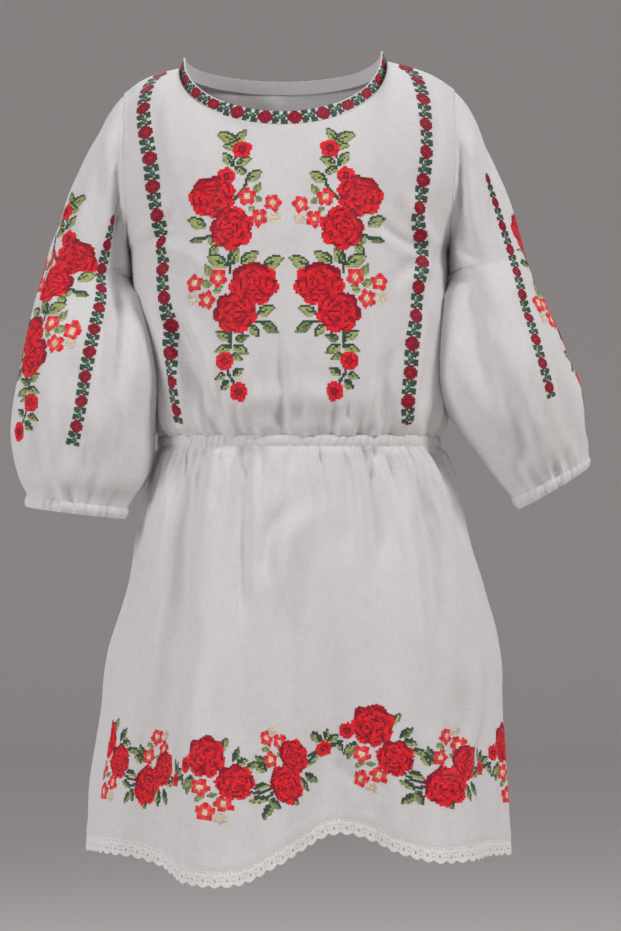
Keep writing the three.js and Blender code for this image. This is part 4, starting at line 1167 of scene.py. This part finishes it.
bandLines = {
    ("right", "front"): (
        (-91.5, -12.0), (-101.5, -21), (-104.4, -32), (-104.4, -44), (-102.0, -62), (-99.5, -82.5),
        (-97.4, -103.1), (-93.5, -123.4), (-91.6, -142.7), (-91.0, -164.1), (-87.5, -185), (-85, -204.2),
        (-85, -225.7), (-82, -247.1), (-78.5, -268.6)),
    ("left", "front"): (
        (80, -7), (91, -14), (94.5, -25.7), (97.3, -45.2), (97.7, -65.9), (96.1, -87.2), (93.5, -105.6),
        (92.5, -125.2), (93.3, -145.4), (92.9, -166.7), (90, -188.2), (87, -209.5), (84.5, -231),
        (83.7, -252.4), (85.0, -268)),
    ("right", "back"): (
        (-91.5, -12.0), (-101.0, -22), (-103.4, -42), (-102, -75), (-98, -110), (-95, -150), (-91, -190),
        (-87, -230), (-80, -268)),
    ("left", "back"): (
        (80, -7), (91, -16), (96.0, -36), (97.5, -70), (94.5, -110), (93, -150), (90, -190), (85, -230),
        (82, -268)),
}
sprayLines = {"right": ((-39.5, -55.5), (-38.9, -111.6), (-38.5, -182.8), (-38.6, -262)),
              "left": ((36.5, -55.5), (35.1, -111.6), (35.3, -182.8), (36.1, -262))}
sleeveBandLines = {
    "right": (
        (112, -117.6), (114, -143.6), (110, -173), (101, -200.6), (94, -230.5), (90, -258.6), (84.5, -284)),
    "left": (
        (51.8, -87.4), (54.5, -107.2), (57.3, -126), (57.3, -149.4), (57.3, -173.6), (57.5, -198.8),
        (59.5, -224.3), (61, -249.6)),
}
sleeveSprayLines = {
    "right": ((40, -97), (45, -127), (45, -156), (42, -184), (39, -214), (37, -246), (36, -296)),
    "left": ((-10, -82), (-10, -112), (-8, -142), (-7, -172), (-6, -202), (-5, -232), (-4, -262)),
}

print("embroidery: laying the charts")
for side, sign in (("right", -1), ("left", 1)):
    word = side.capitalize()
    for label, face, ways, shift in (("band", -1, "front", 0), ("backBand", 1, "back", len(bandChart) // 2)):
        sheet = sheets[f"bodice_{ways}"]
        batch = bandBatch(sheet, byXZ(sheet, face, bandLines[side, ways]), embroidery["bandPitch"],
                          embroidery["bandWidth"], shift, (side == "left") == (face < 0))
        stitchPiece(f"{label}Stitches{word}", [batch], f"bodice_{ways}")
    sheet, pitch = sheets["bodice_front"], embroidery["pitch"]
    places = byXZ(sheet, -1, sprayLines[side])
    batch = sprayBatch(sheet, places, pitch, pitch, embroidery["sprayBloom"], side == "left")
    stitchPiece(f"sprayStitches{word}", [batch], "bodice_front")
    sheet, pitch = sheets[f"sleeve_{side}"], embroidery["sleevePitch"]
    down, across = (pitch * spread for spread in embroidery["sleeveSpread"])
    places = byTurn(sheet, sign, sleeveSprayLines[side])
    batch = sprayBatch(sheet, places, down, across, embroidery["sleeveBloom"], side == "right")
    places = byTurn(sheet, sign, sleeveBandLines[side])
    band = bandBatch(sheet, places, pitch, embroidery["sleeveBandWidth"][side], 0, side == "left")
    stitchPiece(f"sleeveStitches{word}", [batch, band], f"sleeve_{side}")


def lengthAlong(sheet, places):
    return np.linalg.norm(np.diff(sampleSheet(sheet, places), axis=0), axis=1).sum()


def neckBorder():  # runs round the middle of the neck band in whole repeats
    band = sheets["neck_band"]
    column = np.linspace(0, bandForm["columns"], 2000)
    middle = np.stack([np.full(len(column), (bandForm["rows"] - 1) / 2), column], -1)
    length = lengthAlong(band, middle)
    repeats = round(length / embroidery["neckPitch"] / len(bandChart))
    stitches = len(bandChart) * repeats
    spine = evenly(band, middle, length / stitches, stitches)
    laid = layChart(band, spine, 4, 4, embroidery["neckHeight"])
    laid = (laid[:, :-1] + laid[:, 1:]) / 2
    batch = stitchesFrom(band, laid, np.tile(bandChart, (repeats, 1)))
    stitchPiece("neckBandStitches", [batch], "neck_band")


borderForm = dict(
    height=52.5, repeats=7, stitches=91, margin=14, half=28, bloom=0.96, tall=0.9, slim=0.19,
    startColumn=120.0,  # where a bud stands, a little to the wearer's left of the middle
    lift=7.0, liftColumn=84, liftColumns=16,  # raised over the lowest dip of the hem
    fromX=-131.0, backEnd=4,  # the cloth beside the right side seam stays plain
    # the stitches draw in or spread a little: place along the border, and how far it is moved there
    moved=((0, 0), (28, -6), (66, -2), (75, 0), (120, 7), (190, 16), (420, 0)),
    movedBeforeEnd=(
        (450, 0), (256, 18), (213, 18), (185, 16), (145, 5), (128, 3), (103, -1), (62, 6), (52, 6),
        (11, -2.5), (0, 0)))
whole = {name: np.concatenate([sheets[f"skirt_{word}"][name][:, :-1] for word in ("front", "back")], 1)
         for name in ("grid", "normals")}
whole["closed"] = True


def borderLevel():  # the row on which the border's middle runs, for each column of the skirt
    grid = whole["grid"]
    rows, columns = grid.shape[:2]
    fromHem = np.linalg.norm(np.diff(grid, axis=0), axis=-1)[::-1].cumsum(0)
    upward = np.arange(rows - 2, -1, -1)
    level = np.array([np.interp(borderForm["height"], fromHem[:, c], upward) for c in range(columns)])
    for _ in range(300):
        level = (np.roll(level, 1) + 2 * level + np.roll(level, -1)) / 4
    rowHeight = np.linalg.norm(grid[-8] - grid[-9], axis=-1).mean()
    away = (np.arange(columns) - borderForm["liftColumn"]) / borderForm["liftColumns"]
    return level - borderForm["lift"] / rowHeight * np.exp(-away ** 2)


def borderChart():  # the repeats run into each other, so what passes an end is drawn at the other end too
    margin, half = borderForm["margin"], borderForm["half"]
    chart = drawElements(border, 2 * half, borderForm["stitches"] + 2 * margin, margin, half,
                         borderForm["bloom"], borderForm["tall"], borderForm["slim"])
    wrapped = chart[:, margin:-margin].copy()
    ends = ((chart[:, :margin], wrapped[:, -margin:]), (chart[:, -margin:], wrapped[:, :margin]))
    for part, target in ends:
        target[part > 0] = part[part > 0]
    return np.tile(wrapped, (1, borderForm["repeats"]))[::-1].T


def skirtBorder():  # runs round both panels
    level, columns = borderLevel(), whole["grid"].shape[1]
    column = borderForm["startColumn"] + np.linspace(0, columns, 4000)
    row = np.interp(column % columns, np.arange(columns + 1), np.append(level, level[0]))
    dense = np.stack([row, column], -1)
    length, total = lengthAlong(whole, dense), borderForm["repeats"] * borderForm["stitches"]
    step = length / total
    print("embroidery: skirt stitch", round(step, 3), "mm")
    moved = [*borderForm["moved"], *((length - away, shift) for away, shift in borderForm["movedBeforeEnd"])]
    spine = evenly(whole, dense, step, total, moved)
    laid = layChart(whole, spine, borderForm["half"], borderForm["half"], step)
    panel = skirtForm["columns"] - 1
    sideX = sampleSheet(whole, np.stack([level, np.arange(columns)], -1))[:panel // 2, 0]
    plain = int(np.argmax(sideX > borderForm["fromX"]))
    chart = borderChart()
    for word, low, high in (("front", plain, panel), ("back", panel, 2 * panel - borderForm["backEnd"])):
        def inPanel(places, low=low, high=high):
            column = np.array(fourCorners(np.mod(places[..., 1], columns)))
            return ((column >= low) & (column <= high)).all(0)
        batch = stitchesFrom(whole, laid, chart, inPanel)
        stitchPiece(f"borderStitches{word.capitalize()}", [batch], f"skirt_{word}")


neckBorder()
skirtBorder()


laceForm = dict(depth=10.9, scallop=2.2, repeats=110, thickness=0.7, relief=0.42, under=1.5, inward=0.45,
                edgeRelief=0.6, rowPitch=0.8)
laceRepeat = (  # one scallop: = a cord, | a bar, . thin cotton, o a hole
    "==============",
    "==============",
    "|.|.|.|.|.|.|.",
    "|o|.|o|.|o|.|.",
    "=.=.=.=.=.=.=.",
    "==============",
    "|..||||||||..|",
    "|o||.|..|.||o|",
    ".||.||oo||.||.",
    "||..|.oo.|..||",
    "|o|.||..||.|o|",
    "||.|..||..|.||",
    ".|||.|.|.|||..",
    "==============",
)


def layLace():
    skirt = whole["grid"]
    hem, fall = skirt[-1], unit(skirt[-1] - skirt[-6])
    outward = unit(np.cross(fall, unit(np.roll(hem, -1, 0) - np.roll(hem, 1, 0))))
    length = np.concatenate([[0], np.cumsum(np.linalg.norm(np.roll(hem, -1, 0) - hem, axis=1))])
    tall, wide = len(laceRepeat), len(laceRepeat[0])
    steps = laceForm["repeats"] * wide
    place = np.arange(steps) / steps * length[-1]

    def along(values):
        values = np.append(values, values[:1], 0)
        return np.stack([np.interp(place, length, values[:, axis]) for axis in range(3)], -1)

    hem, fall, outward = along(hem), unit(along(fall)), unit(along(outward))
    marks = np.tile(np.array([list(row) for row in laceRepeat]), (1, laceForm["repeats"]))
    bulge = laceForm["depth"] + laceForm["scallop"] * np.abs(np.sin(np.pi * np.arange(steps) / wide))
    depth = np.linspace(0, 1, tall + 1)[:, None] * bulge[None] - laceForm["under"]
    raised = np.isin(marks, ["=", "|"]) * 1.0
    raised = (raised + np.roll(raised, 1, 1)) / 2
    height = np.zeros((tall + 1, steps))
    height[:-1] += raised / 2
    height[1:] += raised / 2
    height[-1] = laceForm["edgeRelief"]
    out = laceForm["relief"] * height - laceForm["inward"]
    grid = hem[None] + fall[None] * depth[..., None] + outward[None] * out[..., None]
    return {"grid": grid, "normals": np.broadcast_to(outward, grid.shape), "marks": marks}


def lacePiece(name, lace, low, high):
    grid, normals = lace["grid"], lace["normals"]
    rows, columns = grid.shape[:2]
    cells = [(r, c) for r in range(rows - 1) for c in range(low, high) if lace["marks"][r, c] != "o"]
    filled = set(cells)
    count = rows * columns
    faces = []
    for r, c in cells:
        right = (c + 1) % columns
        a, b, d, e = r * columns + c, r * columns + right, (r + 1) * columns + right, (r + 1) * columns + c
        faces.append((a, e, d, b))
        faces.append((b + count, d + count, e + count, a + count))
        sides = {(r - 1, c): (a, b), (r + 1, c): (d, e), (r, c - 1): (e, a), (r, c + 1): (b, d)}
        for neighbour, (p, q) in sides.items():
            if neighbour not in filled:
                faces.append((p, q, q + count, p + count))
    faces = np.array(faces)
    points = np.concatenate([grid.reshape(-1, 3), (grid - normals * laceForm["thickness"]).reshape(-1, 3)])
    used, index = np.unique(faces, return_inverse=True)
    piece = meshPiece(name, points[used] * toMetres, index.reshape(faces.shape), [laceFinish])
    across = np.linalg.norm(np.diff(grid[0], axis=0), axis=1).mean()
    downs = -np.repeat(np.arange(rows) * laceForm["rowPitch"], columns)
    cut = np.stack([np.tile(np.arange(columns) * across, rows), downs], -1)
    setCut(piece, np.concatenate([cut, cut])[used][index.reshape(faces.shape)] * toMetres)
    return piece


print("lace: building the edging")
lace = layLace()
laceHalf = lace["grid"].shape[1] // 2
for word, low in (("front", 0), ("back", laceHalf)):
    piece = lacePiece(f"hemLace{word.capitalize()}", lace, low, low + laceHalf)
    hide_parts(f"hem_lace_{word}")
    shown[f"hem_lace_{word}"] = piece

allPieces = list(shown.values()) + [p for pieces in withPieces.values() for p in pieces]
triangles = [sum(len(f.vertices) - 2 for f in p.data.polygons) for p in allPieces]
print("pieces:", len(allPieces), "triangles:", sum(triangles), "most:", max(triangles))


stage = dict(
    floorZ=-1.2, flatRadius=6.5, bend=2.0, wall=7.0, sides=96, colour=(0.66, 0.615, 0.6),
    skyColour=(0.92, 0.95, 1, 1), skyStrength=0.47, aim=(0, 0, -0.3),
    cameraPlace=(0.015, -2.0, -0.2975), lens=105.94, sensor=36)


def makeStage():  # a round floor that bends up into its backdrop
    profile = [(0.0, 0.0), (2.0, 0.0), (4.0, 0.0), (stage["flatRadius"], 0.0)]
    profile += [(stage["flatRadius"] + stage["bend"] * math.sin(a), stage["bend"] * (1 - math.cos(a)))
                for a in np.linspace(0.1, math.pi / 2, 14)]
    profile.append((profile[-1][0], stage["wall"]))
    sides = stage["sides"]
    points, faces = [], []
    for radius, height in profile:
        for i in range(sides):
            a = 2 * math.pi * i / sides
            points.append((radius * math.cos(a), radius * math.sin(a), stage["floorZ"] + height))
    for r in range(len(profile) - 1):
        for i in range(sides):
            j = (i + 1) % sides
            faces.append((r * sides + i, (r + 1) * sides + i, (r + 1) * sides + j, r * sides + j))
    mesh = bpy.data.meshes.new("studioFloor")
    mesh.from_pydata(points, [], faces)
    mesh.polygons.foreach_set("use_smooth", [True] * len(faces))
    material = bpy.data.materials.new("studioPaper")
    material.use_nodes = True
    surface = material.node_tree.nodes["Principled BSDF"]
    surface.inputs["Base Color"].default_value = (*stage["colour"], 1)
    surface.inputs["Roughness"].default_value = 0.95
    surface.inputs["Specular IOR Level"].default_value = 0.1
    mesh.materials.append(material)
    floor = bpy.data.objects.new("studioFloor", mesh)
    bpy.context.scene.collection.objects.link(floor)


lights = (  # name, place, size, power, colour, all aimed at the middle of the dress
    ("keyLight", (2.1, -1.35, 1.9), 0.7, 58, (1, 0.985, 0.975)),
    ("fillLight", (-2.2, -1.7, 0.6), 1.0, 34, (0.985, 0.99, 1)),
    ("backLight", (-0.6, 2.3, 1.6), 1.8, 34, (1, 1, 1)),
)


def addLight(name, place, size, power, colour):
    light = bpy.data.lights.new(name, "AREA")
    light.shape, light.size, light.energy, light.color = "DISK", size, power, colour
    lamp = bpy.data.objects.new(name, light)
    lamp.location = place
    lamp.rotation_euler = (Vector(stage["aim"]) - Vector(place)).to_track_quat("-Z", "Y").to_euler()
    bpy.context.scene.collection.objects.link(lamp)


makeStage()
for light in lights:
    addLight(*light)

bpy.context.scene.view_settings.view_transform = "Standard"
world = bpy.data.worlds.new("studioWorld")
bpy.context.scene.world = world
world.use_nodes = True
sky = world.node_tree.nodes["Background"]
sky.inputs["Color"].default_value = stage["skyColour"]
sky.inputs["Strength"].default_value = stage["skyStrength"]

camera = bpy.data.cameras.new("camera")
camera.lens, camera.sensor_width = stage["lens"], stage["sensor"]
cameraObject = bpy.data.objects.new("camera", camera)
cameraObject.location = stage["cameraPlace"]
cameraObject.rotation_euler = (math.radians(90), 0, 0)
bpy.context.scene.collection.objects.link(cameraObject)
bpy.context.scene.camera = cameraObject
